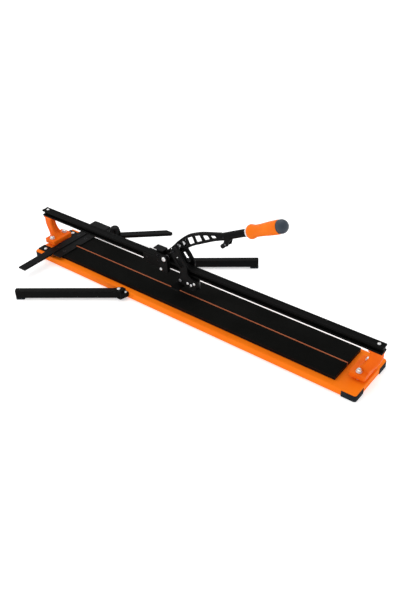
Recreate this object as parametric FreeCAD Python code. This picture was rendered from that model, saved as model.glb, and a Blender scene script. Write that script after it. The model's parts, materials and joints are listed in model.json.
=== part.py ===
import FreeCAD, Part
import math
import os

from FreeCAD import Vector

# Manual rail tile cutter. Millimetres. X runs along the rail towards the operator, Y to the back,
# Z up. The origin is on the floor under the middle of the base.

# ---- driving dimensions ----
BASE_LENGTH = 1340.0
BASE_WIDTH = 192.0
BASE_BOTTOM = 3.4
BASE_TOP = 26.0
SHEET = 2.5

TABLE_TOP = 40.0
TABLE_FRONT = -74.0
TABLE_REAR = 83.0
TABLE_LEFT = -600.0
TABLE_RIGHT = 591.0
MAT = 2.0
CENTRE_GAP = 2.3
BAR_HALF = 1.5
BAR_TOP = 41.0

RAIL_HALF_LENGTH = 695.0
RAIL_WIDTH = 27.0
RAIL_BOTTOM = 128.0
RAIL_TOP = 153.0
RAIL_FLANGE = 6.5
RAIL_WEB = 9.0

SUPPORT_X = 642.0
SUPPORT_BOLT_Y = 30.0
RAIL_BOLT_X = 677.0
FLANGE_TOP = 54.0

PLATE_INNER = 14.5
PLATE_OUTER = 18.0
BLOCK_OUTER = 26.0
ROLLER_XS = (-164.0, -114.0)
ROLLER_R = 5.8

PIVOT_X = -82.0
PIVOT_Z = 163.0
WEB_HALF = 5.0
LEG_INNER = 16.5
LEG_OUTER = 23.5
WHEEL_X = 28.0
WHEEL_Z = 84.0
WHEEL_R = 11.0
AXLE_R = 2.5
FOOT_PIN_X = -18.0
FOOT_PIN_Z = 104.0

GRIP_TILT = math.radians(26.5)
TUBE_X = 170.0
TUBE_Z = 327.0
TUBE_R = 12.0
LASER_X = 158.0
LASER_Z = 295.0
HANDLE_SCREW_R = 2.0

FENCE_LEFT = -605.0
FENCE_RIGHT = -571.0
FENCE_TOP = 46.0
FENCE_NEAR = -228.0
FENCE_FAR = 170.0
RULE_X = -459.0
RULE_Y = 123.0
RULE_ANGLE = 40.0
RULE_LENGTH = 216.0

ARM_PIVOT_X = -222.0
ARM_PIVOT_Y = 112.0
REAR_ARM_TURN_X = -228.0
ARM_ANGLE = 35.5
ARM_LENGTH = 350.0
ARM_WIDTH = 20.0
ARM_BOTTOM = 7.0
ARM_TOP = 35.0

# ---- derived and shared sizes ----
HALF_L = BASE_LENGTH / 2
HALF_W = BASE_WIDTH / 2
RAIL_MID = (RAIL_BOTTOM + RAIL_TOP) / 2
PIN_SLACK = 0.05
SHAFT_SLACK = 0.1
M6_R = 3.0
M6_HOLE = M6_R + SHAFT_SLACK
M8_R = 4.0
M8_HOLE = M8_R + SHAFT_SLACK
M10_R = 5.0
M10_HOLE = M10_R + SHAFT_SLACK
CUT = 1.0           # how far a cutting tool runs past the face it opens
X_AXIS = Vector(1, 0, 0)
Y_AXIS = Vector(0, 1, 0)
Z_AXIS = Vector(0, 0, 1)
GRIP_AXIS = Vector(math.cos(GRIP_TILT), 0, math.sin(GRIP_TILT))


# ---- helpers ----
def box(x0, x1, y0, y1, z0, z1):
    return Part.makeBox(x1 - x0, y1 - y0, z1 - z0, Vector(x0, y0, z0))


def cyl(radius, start, axis, length):
    return Part.makeCylinder(radius, length, Vector(*start), axis)


def tube(outer, inner, start, axis, length):
    return cyl(outer, start, axis, length).cut(cyl(inner, start, axis, length))


def cross_pin(radius, x, z, y0, y1):
    return cyl(radius, (x, y0, z), Y_AXIS, y1 - y0)


def post(radius, x, y, z0, z1):
    return cyl(radius, (x, y, z0), Z_AXIS, z1 - z0)


def plate_y(points, y0, y1):
    """A flat plate whose outline is given as (x, z) points, between two Y planes."""
    corners = [Vector(x, y0, z) for x, z in points]
    face = Part.Face(Part.makePolygon(corners + [corners[0]]))
    return face.extrude(Vector(0, y1 - y0, 0))


def plate_z(points, z0, z1):
    """A flat plate whose outline is given as (x, y) points, between two levels."""
    corners = [Vector(x, y, z0) for x, y in points]
    face = Part.Face(Part.makePolygon(corners + [corners[0]]))
    return face.extrude(Vector(0, 0, z1 - z0))


def spline_edge(points, y):
    curve = Part.BSplineCurve()
    curve.interpolate([Vector(x, y, z) for x, z in points])
    return curve.toShape()


def round_edges(shape, radius, along):
    """Round every straight edge that runs along one axis."""
    chosen = []
    for edge in shape.Edges:
        if edge.Curve.TypeId != "Part::GeomLine":
            continue
        step = edge.Vertexes[1].Point.sub(edge.Vertexes[0].Point)
        if step.Length > 0 and abs(step.dot(along)) > 0.999 * step.Length:
            chosen.append(edge)
    return shape.makeFillet(radius, chosen)


def round_top(shape, radius):
    """Round the outline of the highest flat face."""
    top = max(shape.Faces, key=lambda face: face.CenterOfMass.z)
    return shape.makeFillet(radius, top.OuterWire.Edges)


def hexagon(across_flats, x, y, z0, z1):
    radius = across_flats / math.sqrt(3)
    points = []
    for corner in range(6):
        turn = math.radians(60 * corner + 30)
        points.append((x + radius * math.cos(turn), y + radius * math.sin(turn)))
    return plate_z(points, z0, z1)


def hex_y(across_flats, x, z, y0, y1):
    radius = across_flats / math.sqrt(3)
    points = []
    for corner in range(6):
        turn = math.radians(60 * corner)
        points.append((x + radius * math.cos(turn), z + radius * math.sin(turn)))
    return plate_y(points, y0, y1)


def fuse(*shapes):
    return shapes[0].multiFuse(list(shapes[1:])).removeSplitter()


def dome(radius, height, x, y, z):
    """A low domed head standing on the level z."""
    sphere_r = (radius * radius + height * height) / (2 * height)
    ball = Part.makeSphere(sphere_r, Vector(x, y, z + height - sphere_r))
    return ball.common(post(radius + 1, x, y, z, z + height + 1))


def dome_y(radius, height, x, z, y, side):
    """A low domed head on a plane across Y; side is -1 towards the front, 1 towards the back."""
    sphere_r = (radius * radius + height * height) / (2 * height)
    ball = Part.makeSphere(sphere_r, Vector(x, y + side * (height - sphere_r), z))
    start = y if side > 0 else y - height - 1
    return ball.common(cross_pin(radius + 1, x, z, start, start + height + 1))


def mirrored_x(shape):
    return shape.mirror(Vector(0, 0, 0), X_AXIS)


def turned(shape, x, y, degrees):
    copy = shape.copy()
    copy.rotate(Vector(x, y, 0), Z_AXIS, degrees)
    return copy


# ---- base ----
CORNER_R = 7.0
FOOT_REACH = 46.0
FOOT_TOP = 21.0
FOOT_PROUD = 1.5
BRACKET_SCREW_X = ARM_PIVOT_X + 19.5
BRACKET_SCREW_Z = 15.0
TAPPING_R = 1.9
TAPPING_HOLE = TAPPING_R + PIN_SLACK
SPARE_HOLE_X = ARM_PIVOT_X + 46.0
SPARE_HOLE_Z = 18.5


def tray_outside():
    outside = box(-HALF_L, HALF_L, -HALF_W, HALF_W, BASE_BOTTOM, BASE_TOP)
    outside = round_edges(outside, CORNER_R, Z_AXIS)
    return round_top(outside, SHEET)


def base_tray():
    tray = tray_outside()
    inner_l = HALF_L - SHEET
    inner_w = HALF_W - SHEET
    hollow = box(-inner_l, inner_l, -inner_w, inner_w, 0, BASE_TOP - SHEET)
    tray = tray.cut(round_edges(hollow, CORNER_R - SHEET, Z_AXIS))
    for x in (-SUPPORT_X, SUPPORT_X):
        for y in (-SUPPORT_BOLT_Y, SUPPORT_BOLT_Y):
            tray = tray.cut(post(M10_HOLE, x, y, 0, BASE_TOP + CUT))
    wall_y0 = -HALF_W - CUT
    wall_y1 = -HALF_W + SHEET + CUT
    screw_hole = cross_pin(TAPPING_HOLE, BRACKET_SCREW_X, BRACKET_SCREW_Z, wall_y0, wall_y1)
    tray = tray.cut(screw_hole).cut(to_far_side(screw_hole))
    return tray.cut(cross_pin(TAPPING_HOLE, SPARE_HOLE_X, SPARE_HOLE_Z, wall_y0, wall_y1))


def corner_feet():
    feet = []
    for sx in (-1, 1):
        for sy in (-1, 1):
            x0, x1 = sorted((sx * (HALF_L - FOOT_REACH), sx * (HALF_L + FOOT_PROUD)))
            y0, y1 = sorted((sy * (HALF_W - FOOT_REACH), sy * (HALF_W + FOOT_PROUD)))
            block = box(x0, x1, y0, y1, 0, FOOT_TOP)
            corner = Vector(sx * (HALF_L + FOOT_PROUD), sy * (HALF_W + FOOT_PROUD), FOOT_TOP / 2)
            outer = [e for e in block.Edges if e.CenterOfMass.distanceToPoint(corner) < 0.1]
            block = block.makeFillet(CORNER_R + FOOT_PROUD, outer)
            feet.append(block.cut(tray_outside()))
    return Part.makeCompound(feet)


def table_half(side, z0, z1):
    edge = TABLE_FRONT if side < 0 else TABLE_REAR
    y0, y1 = sorted((side * CENTRE_GAP, edge))
    half = box(TABLE_LEFT, TABLE_RIGHT, y0, y1, z0, z1)
    for x, y in fence_screw_places():
        half = half.cut(post(M6_HOLE, x, y, z0 - CUT, z1 + CUT))
    return half


def mat_half(side):
    mat = table_half(side, TABLE_TOP - MAT, TABLE_TOP)
    outline = [e for e in mat.Edges if e.CenterOfMass.z > TABLE_TOP - 0.01 and e.Length > 50]
    return mat.makeChamfer(0.8, outline)


def breaking_bar():
    left = FENCE_PLATE_RIGHT - NOTCH_DEPTH + 0.5
    bar = box(left, TABLE_RIGHT, -BAR_HALF, BAR_HALF, BASE_TOP, BAR_TOP)
    ridge = [e for e in bar.Edges if e.CenterOfMass.z > BAR_TOP - 0.01 and e.Length > 50]
    return bar.makeFillet(0.8, ridge)


# ---- rail and its supports ----
PAD_BOTTOM = 122.0
FLANGE_HALF_Y = 45.0
FLANGE_BOTTOM = 38.0
FLANGE_FOOT_HALF_Y = 33.0
WASHER_THICK = 2.0
WASHER_R = 9.5
WASHER_SEAT = 0.5
BOLT_FLATS = 15.0
RAIL_TOP_GROOVE = 0.8
RAIL_TOP_GROOVE_HALF = 7.0
END_PLATE_THICK = 3.0
END_SCREW_X = -641.0
END_SCREW_Y = 70.0


def rail():
    half_w = RAIL_WIDTH / 2
    groove_z0 = RAIL_BOTTOM + RAIL_FLANGE
    groove_z1 = RAIL_TOP - RAIL_FLANGE
    ends = RAIL_HALF_LENGTH
    body = box(-ends, ends, -half_w, half_w, RAIL_BOTTOM, RAIL_TOP)
    body = round_edges(body, 0.8, X_AXIS)
    for side in (-1, 1):
        y0, y1 = sorted((side * RAIL_WEB / 2, side * (half_w + 1)))
        body = body.cut(box(-ends - CUT, ends + CUT, y0, y1, groove_z0, groove_z1))
    groove_half = RAIL_TOP_GROOVE_HALF
    groove_floor = RAIL_TOP - RAIL_TOP_GROOVE
    groove = box(-ends - CUT, ends + CUT, -groove_half, groove_half, groove_floor, RAIL_TOP + CUT)
    body = body.cut(groove)
    for x in (-RAIL_BOLT_X, RAIL_BOLT_X):
        body = body.cut(post(M8_HOLE, x, 0, RAIL_BOTTOM - CUT, RAIL_TOP + CUT))
    return body


def rounded_section(x0, x1, half_y, z, corner):
    """A closed rounded-rectangle wire at one level."""
    block = box(x0, x1, -half_y, half_y, z, z + 1)
    block = round_edges(block, corner, Z_AXIS)
    return min(block.Faces, key=lambda face: face.CenterOfMass.z).OuterWire


# Levels of the support's curved post, from the foot up: inner x, outer x, half width in y, z.
POST_LEVELS = (
    (627.0, 667.0, 24.0, FLANGE_TOP - 4),
    (637.0, 673.0, 18.0, 62.0),
    (646.0, 683.0, 14.5, 76.0),
    (653.0, 691.0, 13.0, 92.0),
    (656.0, 693.5, 12.5, 108.0),
    (655.0, 693.0, 12.5, PAD_BOTTOM),
)
CHANNEL_DEPTH = 6.0
CHANNEL_HALF = 8.0


def rail_support():
    """The support casting at the operator's end; the other end is its mirror image."""
    flange = box(617, 668, -FLANGE_HALF_Y, FLANGE_HALF_Y, FLANGE_BOTTOM, FLANGE_TOP)
    flange = round_top(round_edges(flange, 6, Z_AXIS), 2)
    foot = box(624, 661, -FLANGE_FOOT_HALF_Y, FLANGE_FOOT_HALF_Y, BASE_TOP, FLANGE_BOTTOM)
    foot = round_edges(foot, 6, Z_AXIS)
    sections = [rounded_section(x0, x1, half_y, z, 8.0) for x0, x1, half_y, z in POST_LEVELS]
    curved_post = Part.makeLoft(sections, True, False)
    pad = box(652, RAIL_HALF_LENGTH - 1, -RAIL_WIDTH / 2, RAIL_WIDTH / 2, PAD_BOTTOM, RAIL_BOTTOM)
    pad = round_edges(pad, 4, Z_AXIS)
    body = fuse(flange, foot, curved_post, pad)
    front = [(x0 + CHANNEL_DEPTH, z) for x0, x1, half_y, z in POST_LEVELS[1:]]
    back = [(front[-1][0] - 40, front[-1][1]), (front[0][0] - 40, front[0][1])]
    curve = spline_edge(front, -CHANNEL_HALF)
    far_side = Part.makePolygon(
        [Vector(x, -CHANNEL_HALF, z) for x, z in [front[-1]] + back + [front[0]]])
    channel = Part.Face(Part.Wire([curve] + far_side.Edges)).extrude(Vector(0, 2 * CHANNEL_HALF, 0))
    body = body.cut(channel)
    for y in (-SUPPORT_BOLT_Y, SUPPORT_BOLT_Y):
        body = body.cut(post(M10_HOLE, SUPPORT_X, y, BASE_TOP - CUT, FLANGE_TOP + CUT))
        body = body.cut(post(WASHER_R + 1, SUPPORT_X, y, FLANGE_TOP - WASHER_SEAT, PAD_BOTTOM - 40))
    return body.cut(post(M8_HOLE, RAIL_BOLT_X, 0, RAIL_BOTTOM - 20, RAIL_BOTTOM + CUT))


def support_bolts():
    """Four bolts that hold the supports to the tray, each with its nut and a loose washer."""
    bolts = []
    nut_top = BASE_TOP - SHEET
    washer_z0 = FLANGE_TOP - WASHER_SEAT
    head_z0 = washer_z0 + WASHER_THICK
    for x in (-SUPPORT_X, SUPPORT_X):
        for y in (-SUPPORT_BOLT_Y, SUPPORT_BOLT_Y):
            shank = post(M10_R, x, y, nut_top - 8, head_z0)
            nut = hexagon(BOLT_FLATS, x, y, nut_top - 7, nut_top)
            head = hexagon(BOLT_FLATS, x, y, head_z0, head_z0 + 6.5)
            crown = dome(7.2, 2.0, x, y, head_z0 + 6.5)
            bolts.append(fuse(shank, nut, head, crown))
            bolts.append(tube(WASHER_R, M10_HOLE, (x, y, washer_z0), Z_AXIS, WASHER_THICK))
    return Part.makeCompound(bolts)


def rail_bolts():
    bolts = []
    floor = RAIL_TOP - RAIL_TOP_GROOVE
    for x in (-RAIL_BOLT_X, RAIL_BOLT_X):
        shank = post(M8_R, x, 0, RAIL_BOTTOM - 18, floor)
        head = dome(5.5, 4.0, x, 0, floor)
        socket = hexagon(4.0, x, 0, floor + 1.5, floor + 6)
        bolts.append(fuse(shank, head).cut(socket))
    return Part.makeCompound(bolts)


def end_plates():
    """Two black steel pads on the far end of the tray, one on each side of the support."""
    pads = []
    for side in (-1, 1):
        y0, y1 = sorted((side * 51.5, side * 84))
        pad = box(-668, -628, y0, y1, BASE_TOP, BASE_TOP + END_PLATE_THICK)
        pads.append(round_edges(pad, 4, Z_AXIS))
    return Part.makeCompound(pads)


def end_plate_screws():
    top = BASE_TOP + END_PLATE_THICK
    return Part.makeCompound([dome(6.5, 4.0, END_SCREW_X, y, top) for y in (-END_SCREW_Y, END_SCREW_Y)])


# ---- fence, side stop and swinging rule ----
FENCE_PLATE_TOP = 43.5
FENCE_PLATE_RIGHT = -532.0
NOTCH_HALF = 10.0
NOTCH_DEPTH = 14.0
SCREW_Y = 54.0
SINK_R = 6.0
SINK_DEPTH = 3.0
STOP_NEAR = 105.0
STOP_FAR = 164.0
STOP_CLEAR = 0.4
STOP_TOP = 50.5
STOP_FLOOR = FENCE_PLATE_TOP + 0.5
CARRIER_TOP = 48.0
RULE_BOTTOM = CARRIER_TOP + 0.4
RULE_THICK = 11.0


def fence_screw_places():
    plate_x = (FENCE_RIGHT + FENCE_PLATE_RIGHT) / 2
    bar_x = (FENCE_LEFT + FENCE_RIGHT) / 2
    return [(plate_x, -SCREW_Y), (plate_x, SCREW_Y), (bar_x, -SCREW_Y), (bar_x, SCREW_Y)]


def countersunk(shape, x, y, top):
    shape = shape.cut(post(M6_HOLE, x, y, BASE_TOP, top + CUT))
    floor = Vector(x, y, top - SINK_DEPTH)
    return shape.cut(Part.makeCone(M6_HOLE, SINK_R + SHAFT_SLACK, SINK_DEPTH, floor, Z_AXIS))


def fence_plate():
    left = FENCE_RIGHT
    right = FENCE_PLATE_RIGHT
    outline = [
        (left, -94), (right - 4, -94), (right, -90), (right, -NOTCH_HALF),
        (right - NOTCH_DEPTH, -3), (right - NOTCH_DEPTH, 3), (right, NOTCH_HALF),
        (right, 88), (right - 4, 92), (left, 92),
    ]
    plate = plate_z(outline, TABLE_TOP, FENCE_PLATE_TOP)
    for x, y in fence_screw_places()[:2]:
        plate = countersunk(plate, x, y, FENCE_PLATE_TOP)
    return plate


def fence_bar():
    bar = box(FENCE_LEFT, FENCE_RIGHT, FENCE_NEAR, FENCE_FAR, TABLE_TOP, FENCE_TOP)
    bar = round_edges(bar, 1.5, Y_AXIS)
    for x, y in fence_screw_places()[2:]:
        bar = countersunk(bar, x, y, FENCE_TOP)
    return bar


def fence_screws():
    screws = []
    for index, (x, y) in enumerate(fence_screw_places()):
        top = FENCE_PLATE_TOP if index < 2 else FENCE_TOP
        shank = post(M6_R, x, y, BASE_TOP, top - SINK_DEPTH + 0.1)
        head = Part.makeCone(M6_R, SINK_R, SINK_DEPTH, Vector(x, y, top - SINK_DEPTH), Z_AXIS)
        socket = hexagon(4.0, x, y, top - 2.0, top + CUT)
        screws.append(fuse(shank, head).cut(socket))
    return Part.makeCompound(screws)


def side_stop():
    """The stop that rides on the fence bar, with an arm that carries the swinging rule."""
    skirt = 3.0
    saddle = box(FENCE_LEFT - STOP_CLEAR - skirt, FENCE_PLATE_RIGHT + 8,
                 STOP_NEAR, STOP_FAR, STOP_FLOOR, STOP_TOP)
    saddle = round_edges(saddle, 3, Z_AXIS)
    bar_space = box(FENCE_LEFT - STOP_CLEAR, FENCE_RIGHT + STOP_CLEAR,
                    STOP_NEAR - 1, STOP_FAR + 1, 0, FENCE_TOP + STOP_CLEAR)
    arm = box(FENCE_PLATE_RIGHT, RULE_X, RULE_Y - 18, RULE_Y + 18, STOP_FLOOR, CARRIER_TOP)
    shoulder = box(FENCE_PLATE_RIGHT, RULE_X - 15, STOP_NEAR, STOP_FAR - 4, STOP_FLOOR, CARRIER_TOP)
    shoulder = round_edges(shoulder, 3, Z_AXIS)
    hub = post(18, RULE_X, RULE_Y, STOP_FLOOR, CARRIER_TOP)
    body = fuse(saddle, arm, shoulder, hub).cut(bar_space)
    return body.cut(post(M8_R + PIN_SLACK, RULE_X, RULE_Y, 0, CARRIER_TOP + CUT))


def swing_rule():
    half = 13.5
    length = RULE_LENGTH
    outline = [(0, -half), (length - 6, -half), (length, -half + 8), (length - 22, half), (0, half)]
    blade = plate_z([(RULE_X + x, RULE_Y + y) for x, y in outline],
                    RULE_BOTTOM, RULE_BOTTOM + RULE_THICK)
    hub = post(16, RULE_X, RULE_Y, RULE_BOTTOM, RULE_BOTTOM + RULE_THICK)
    body = fuse(blade, hub).cut(post(4.3, RULE_X, RULE_Y, 0, RULE_BOTTOM + RULE_THICK + 1))
    return turned(body, RULE_X, RULE_Y, RULE_ANGLE)


KNOB_BASE = RULE_BOTTOM + RULE_THICK + 0.4
KNOB_HEIGHT = 31.0
KNOB_FLUTES = 7
KNOB_FLUTE_R = 6.5
KNOB_FLUTE_OUT = 22.5


def rule_knob():
    top = KNOB_HEIGHT
    profile = [(0, 0), (18, 0), (21.5, 4), (21, 13), (18, 20), (16.5, 27), (13, top), (0, top)]
    points = [Vector(RULE_X + r, RULE_Y, KNOB_BASE + z) for r, z in profile]
    face = Part.Face(Part.makePolygon(points + [points[0]]))
    body = face.revolve(Vector(RULE_X, RULE_Y, 0), Z_AXIS, 360)
    for flute in range(KNOB_FLUTES):
        turn = 2 * math.pi * flute / KNOB_FLUTES
        x = RULE_X + KNOB_FLUTE_OUT * math.cos(turn)
        y = RULE_Y + KNOB_FLUTE_OUT * math.sin(turn)
        body = body.cut(post(KNOB_FLUTE_R, x, y, KNOB_BASE - CUT, KNOB_BASE + top + CUT))
    stud = post(M8_R, RULE_X, RULE_Y, STOP_FLOOR + 0.5, KNOB_BASE + 2)
    return fuse(body, stud)


# ---- swing-out support arms (drawn for the front arm, which points away from the operator) ----
EAR = 2.5
EAR_BOTTOM = BASE_BOTTOM
EAR_TOP = ARM_TOP + 0.4
WEB_FACE = 14.0
BRACKET_DEPTH = 11.0
BRACKET_HEEL = 18.0
BRACKET_END = 31.0
BRACKET_TIP = 11.0
SHOULDER_TOP = 29.5
SHOULDER_SLOPE = ((12, 2), (12, EAR_BOTTOM), (BRACKET_END, 13), (BRACKET_END + 4, 13), (BRACKET_END + 4, 2))
TOP_BOLT_X = ARM_PIVOT_X + 24.0
TOP_BOLT_Y = -HALF_W - 8.0
TOP_BOLT_END = 19.0
INSIDE_WALL = -HALF_W + SHEET


def arm_bracket():
    """Bracket on the front wall of the tray: two ears round the arm's end and a sloping shoulder."""
    px = ARM_PIVOT_X
    py = -ARM_PIVOT_Y
    front = py - BRACKET_DEPTH
    end = px + BRACKET_END
    heel = px + BRACKET_HEEL
    shoulder = [(px + WEB_FACE, front), (heel, front), (end, -HALF_W - BRACKET_TIP), (end, -HALF_W),
                (px + WEB_FACE, -HALF_W)]
    parts = [plate_z(shoulder, EAR_BOTTOM, SHOULDER_TOP),
             box(px + WEB_FACE, heel, front, -HALF_W, EAR_BOTTOM, EAR_TOP)]
    for z0 in (EAR_BOTTOM, EAR_TOP):
        parts.append(box(px, heel, front, -HALF_W, z0, z0 + EAR))
        parts.append(post(BRACKET_DEPTH, px, py, z0, z0 + EAR))
    body = fuse(*parts)
    slope = [(px + x, z) for x, z in SHOULDER_SLOPE]
    body = body.cut(plate_y(slope, front - CUT, -HALF_W + CUT))
    body = body.cut(post(M10_HOLE, px, py, 0, EAR_TOP + EAR + CUT))
    body = body.cut(post(M6_HOLE, TOP_BOLT_X, TOP_BOLT_Y, TOP_BOLT_END, SHOULDER_TOP + CUT))
    screw_hole = cross_pin(TAPPING_HOLE, BRACKET_SCREW_X, BRACKET_SCREW_Z, -HALF_W - 8, -HALF_W + CUT)
    return body.cut(screw_hole)


def arm_pivot_bolt():
    px = ARM_PIVOT_X
    py = -ARM_PIVOT_Y
    top = EAR_TOP + EAR
    return fuse(post(M10_R, px, py, EAR_BOTTOM, top), dome(6.5, 4.0, px, py, top))


def bracket_top_bolt():
    """Bolt down into the bracket's shoulder."""
    shank = post(M6_R, TOP_BOLT_X, TOP_BOLT_Y, TOP_BOLT_END, SHOULDER_TOP)
    return fuse(shank, dome(5.0, 3.0, TOP_BOLT_X, TOP_BOLT_Y, SHOULDER_TOP))


def bracket_screw():
    """Self-tapping screw from inside the tray's wall into the bracket."""
    shank = cross_pin(TAPPING_R, BRACKET_SCREW_X, BRACKET_SCREW_Z, -HALF_W - 7, INSIDE_WALL)
    head = dome_y(5.0, 2.5, BRACKET_SCREW_X, BRACKET_SCREW_Z, INSIDE_WALL, 1)
    return fuse(shank, head)


ARM_WALL = 2.5
ARM_FOOT_LENGTH = 30.0


def support_arm():
    """Inverted channel with a solid hub at its pivot, first drawn along -X, then swung out."""
    px = ARM_PIVOT_X
    py = -ARM_PIVOT_Y
    half = ARM_WIDTH / 2
    end = px - ARM_LENGTH - half
    shell = box(end, px, py - half, py + half, ARM_BOTTOM, ARM_TOP)
    shell = fuse(shell, post(half, px, py, ARM_BOTTOM, ARM_TOP))
    outer = [e for e in shell.Edges if abs(e.CenterOfMass.x - end) < 0.1 and e.Length > 20.5]
    shell = shell.makeFillet(4.0, outer)
    hollow = box(end + ARM_WALL, px - half - 2, py - half + ARM_WALL, py + half - ARM_WALL,
                 ARM_BOTTOM - 1, ARM_TOP - ARM_WALL)
    shell = shell.cut(hollow)
    for y in (py - half, py + half):
        groove = box(end + 14, px - 14, y - 0.8, y + 0.8, 28.0, 30.0)
        shell = shell.cut(groove)
    shell = shell.cut(post(M10_R + PIN_SLACK, px, py, 0, ARM_TOP + CUT))
    return turned(shell, px, py, ARM_ANGLE)


def arm_foot():
    px = ARM_PIVOT_X
    py = -ARM_PIVOT_Y
    half = ARM_WIDTH / 2
    end = px - ARM_LENGTH - half
    pad = box(end, end + ARM_FOOT_LENGTH, py - half, py + half, 0, ARM_BOTTOM)
    pad = round_edges(pad, 3.5, Z_AXIS)
    plug_half = half - ARM_WALL
    plug = box(end + ARM_WALL, end + ARM_FOOT_LENGTH - 3, py - plug_half, py + plug_half, ARM_BOTTOM, 18)
    return turned(fuse(pad, plug), px, py, ARM_ANGLE)


def to_far_side(shape):
    """The rear arm is the front one turned half round about the line x = REAR_ARM_TURN_X, y = 0."""
    return turned(shape, REAR_ARM_TURN_X, 0, 180)


# ---- carriage ----
PLATE_LEFT = -182.0
PLATE_RIGHT = -66.0
PLATE_BOTTOM = 112.0
BLOCK_LEFT = -104.0
BRIDGE_LEFT = -126.0
BRIDGE_RIGHT = -96.0
BRIDGE_TOP = 180.0
CAP_PLATE_LEFT = -138.0
CAP_PLATE_HALF = 13.0
CAP_PLATE_THICK = 3.0
TIE_X = -97.0
TIE_Z = 120.0
BRIDGE_SCREW_Z = 163.0
BRIDGE_SCREW_X = -115.0
ROLLER_PIN_R = 2.5


def carriage_plate(side):
    """Side plate next to the rail; the rollers' pins and the pivot bolt pass through it."""
    outline = [
        (PLATE_LEFT, 126), (PLATE_LEFT + 5, 121), (-120, PLATE_BOTTOM), (PLATE_RIGHT - 4, PLATE_BOTTOM),
        (PLATE_RIGHT, PLATE_BOTTOM + 4), (PLATE_RIGHT, 166), (PLATE_RIGHT - 8, 174),
        (BRIDGE_LEFT + 2, 174), (BRIDGE_LEFT - 6, 166), (BRIDGE_LEFT - 14, 152), (PLATE_LEFT, 152),
    ]
    y0, y1 = sorted((side * PLATE_INNER, side * PLATE_OUTER))
    plate = plate_y(outline, y0, y1)
    for x in ROLLER_XS:
        plate = plate.cut(cross_pin(ROLLER_PIN_R + SHAFT_SLACK, x, RAIL_MID, y0 - CUT, y1 + CUT))
    plate = plate.cut(cross_pin(M10_HOLE, PIVOT_X, PIVOT_Z, y0 - CUT, y1 + CUT))
    plate = plate.cut(cross_pin(M6_HOLE, TIE_X, TIE_Z, y0 - CUT, y1 + CUT))
    return plate.cut(cross_pin(M6_HOLE, BRIDGE_SCREW_X, BRIDGE_SCREW_Z, y0 - CUT, y1 + CUT))


def carriage_block(side):
    """Cast cheek outside each plate, around the handle's pivot bolt."""
    outline = [
        (BLOCK_LEFT, PLATE_BOTTOM + 3), (BLOCK_LEFT + 3, PLATE_BOTTOM), (PLATE_RIGHT - 6, PLATE_BOTTOM),
        (PLATE_RIGHT - 3, PLATE_BOTTOM + 3), (PLATE_RIGHT - 3, 168), (PLATE_RIGHT - 10, 175),
        (BLOCK_LEFT + 9, 175), (BLOCK_LEFT, 166),
    ]
    y0, y1 = sorted((side * PLATE_OUTER, side * BLOCK_OUTER))
    block = plate_y(outline, y0, y1)
    outer_face = max(block.Faces, key=lambda face: side * face.CenterOfMass.y)
    block = block.makeChamfer(1.5, outer_face.OuterWire.Edges)
    block = block.cut(cross_pin(M10_HOLE, PIVOT_X, PIVOT_Z, y0 - CUT, y1 + CUT))
    return block.cut(cross_pin(M6_HOLE, TIE_X, TIE_Z, y0 - CUT, y1 + CUT))


def carriage_bridge():
    """Block over the rail that joins the two plates, with a thin plate overhanging its top."""
    base = box(BRIDGE_LEFT, BRIDGE_RIGHT, -PLATE_INNER, PLATE_INNER, RAIL_TOP + 1.5, 172)
    neck = box(BRIDGE_LEFT, BRIDGE_RIGHT, -11, 11, 172, BRIDGE_TOP)
    cap_plate = box(CAP_PLATE_LEFT, BRIDGE_RIGHT, -CAP_PLATE_HALF, CAP_PLATE_HALF,
                    BRIDGE_TOP, BRIDGE_TOP + CAP_PLATE_THICK)
    cap_plate = round_edges(cap_plate, 2.0, Z_AXIS)
    reach = PLATE_INNER + CUT
    bore = cross_pin(M6_HOLE, BRIDGE_SCREW_X, BRIDGE_SCREW_Z, -reach, reach)
    return fuse(base, neck, cap_plate).cut(bore)


def through_bolt(radius, x, z, half, head_r, head_h):
    """A bolt along Y with a domed head in front and a hexagon nut behind."""
    shank = cross_pin(radius, x, z, -half, half + head_h + 1)
    head = dome_y(head_r, head_h, x, z, -half, -1)
    nut = hex_y(1.75 * head_r, x, z, half, half + head_h)
    return fuse(shank, head, nut)


def pivot_bolt():
    bolt = through_bolt(M10_R, PIVOT_X, PIVOT_Z, BLOCK_OUTER, 8.5, 5.0)
    socket = hex_y(6.0, PIVOT_X, PIVOT_Z, -BLOCK_OUTER - 8, -BLOCK_OUTER - 2.5)
    return bolt.cut(socket)


def tie_bolt():
    """The shouldered tie bolt under the rail."""
    shoulder = cross_pin(5.5, TIE_X, TIE_Z, -PLATE_INNER, PLATE_INNER)
    return fuse(through_bolt(M6_R, TIE_X, TIE_Z, BLOCK_OUTER, 5.5, 3.5), shoulder)


def bridge_screw():
    return through_bolt(M6_R, BRIDGE_SCREW_X, BRIDGE_SCREW_Z, PLATE_OUTER, 5.0, 3.0)


def roller_pins():
    pins = []
    for x in ROLLER_XS:
        for side in (-1, 1):
            y0, y1 = sorted((side * 5.2, side * PLATE_OUTER))
            pin = cross_pin(ROLLER_PIN_R, x, RAIL_MID, y0, y1)
            pins.append(fuse(pin, dome_y(4.0, 2.0, x, RAIL_MID, side * PLATE_OUTER, side)))
    return Part.makeCompound(pins)


def roller(x, side):
    y0, y1 = sorted((side * 5.5, side * 12.5))
    ring = cross_pin(ROLLER_R, x, RAIL_MID, y0, y1)
    return ring.cut(cross_pin(ROLLER_PIN_R + PIN_SLACK, x, RAIL_MID, y0 - 1, y1 + 1))


def return_springs():
    """Two close-wound torsion springs round the pivot bolt, each turn a ring of wire."""
    rings = []
    for side in (-1, 1):
        for turn in range(3):
            centre = Vector(PIVOT_X, side * (8.2 + 2.3 * turn), PIVOT_Z)
            rings.append(Part.makeTorus(7.6, 1.1, centre, Y_AXIS))
    return Part.makeCompound(rings)


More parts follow.
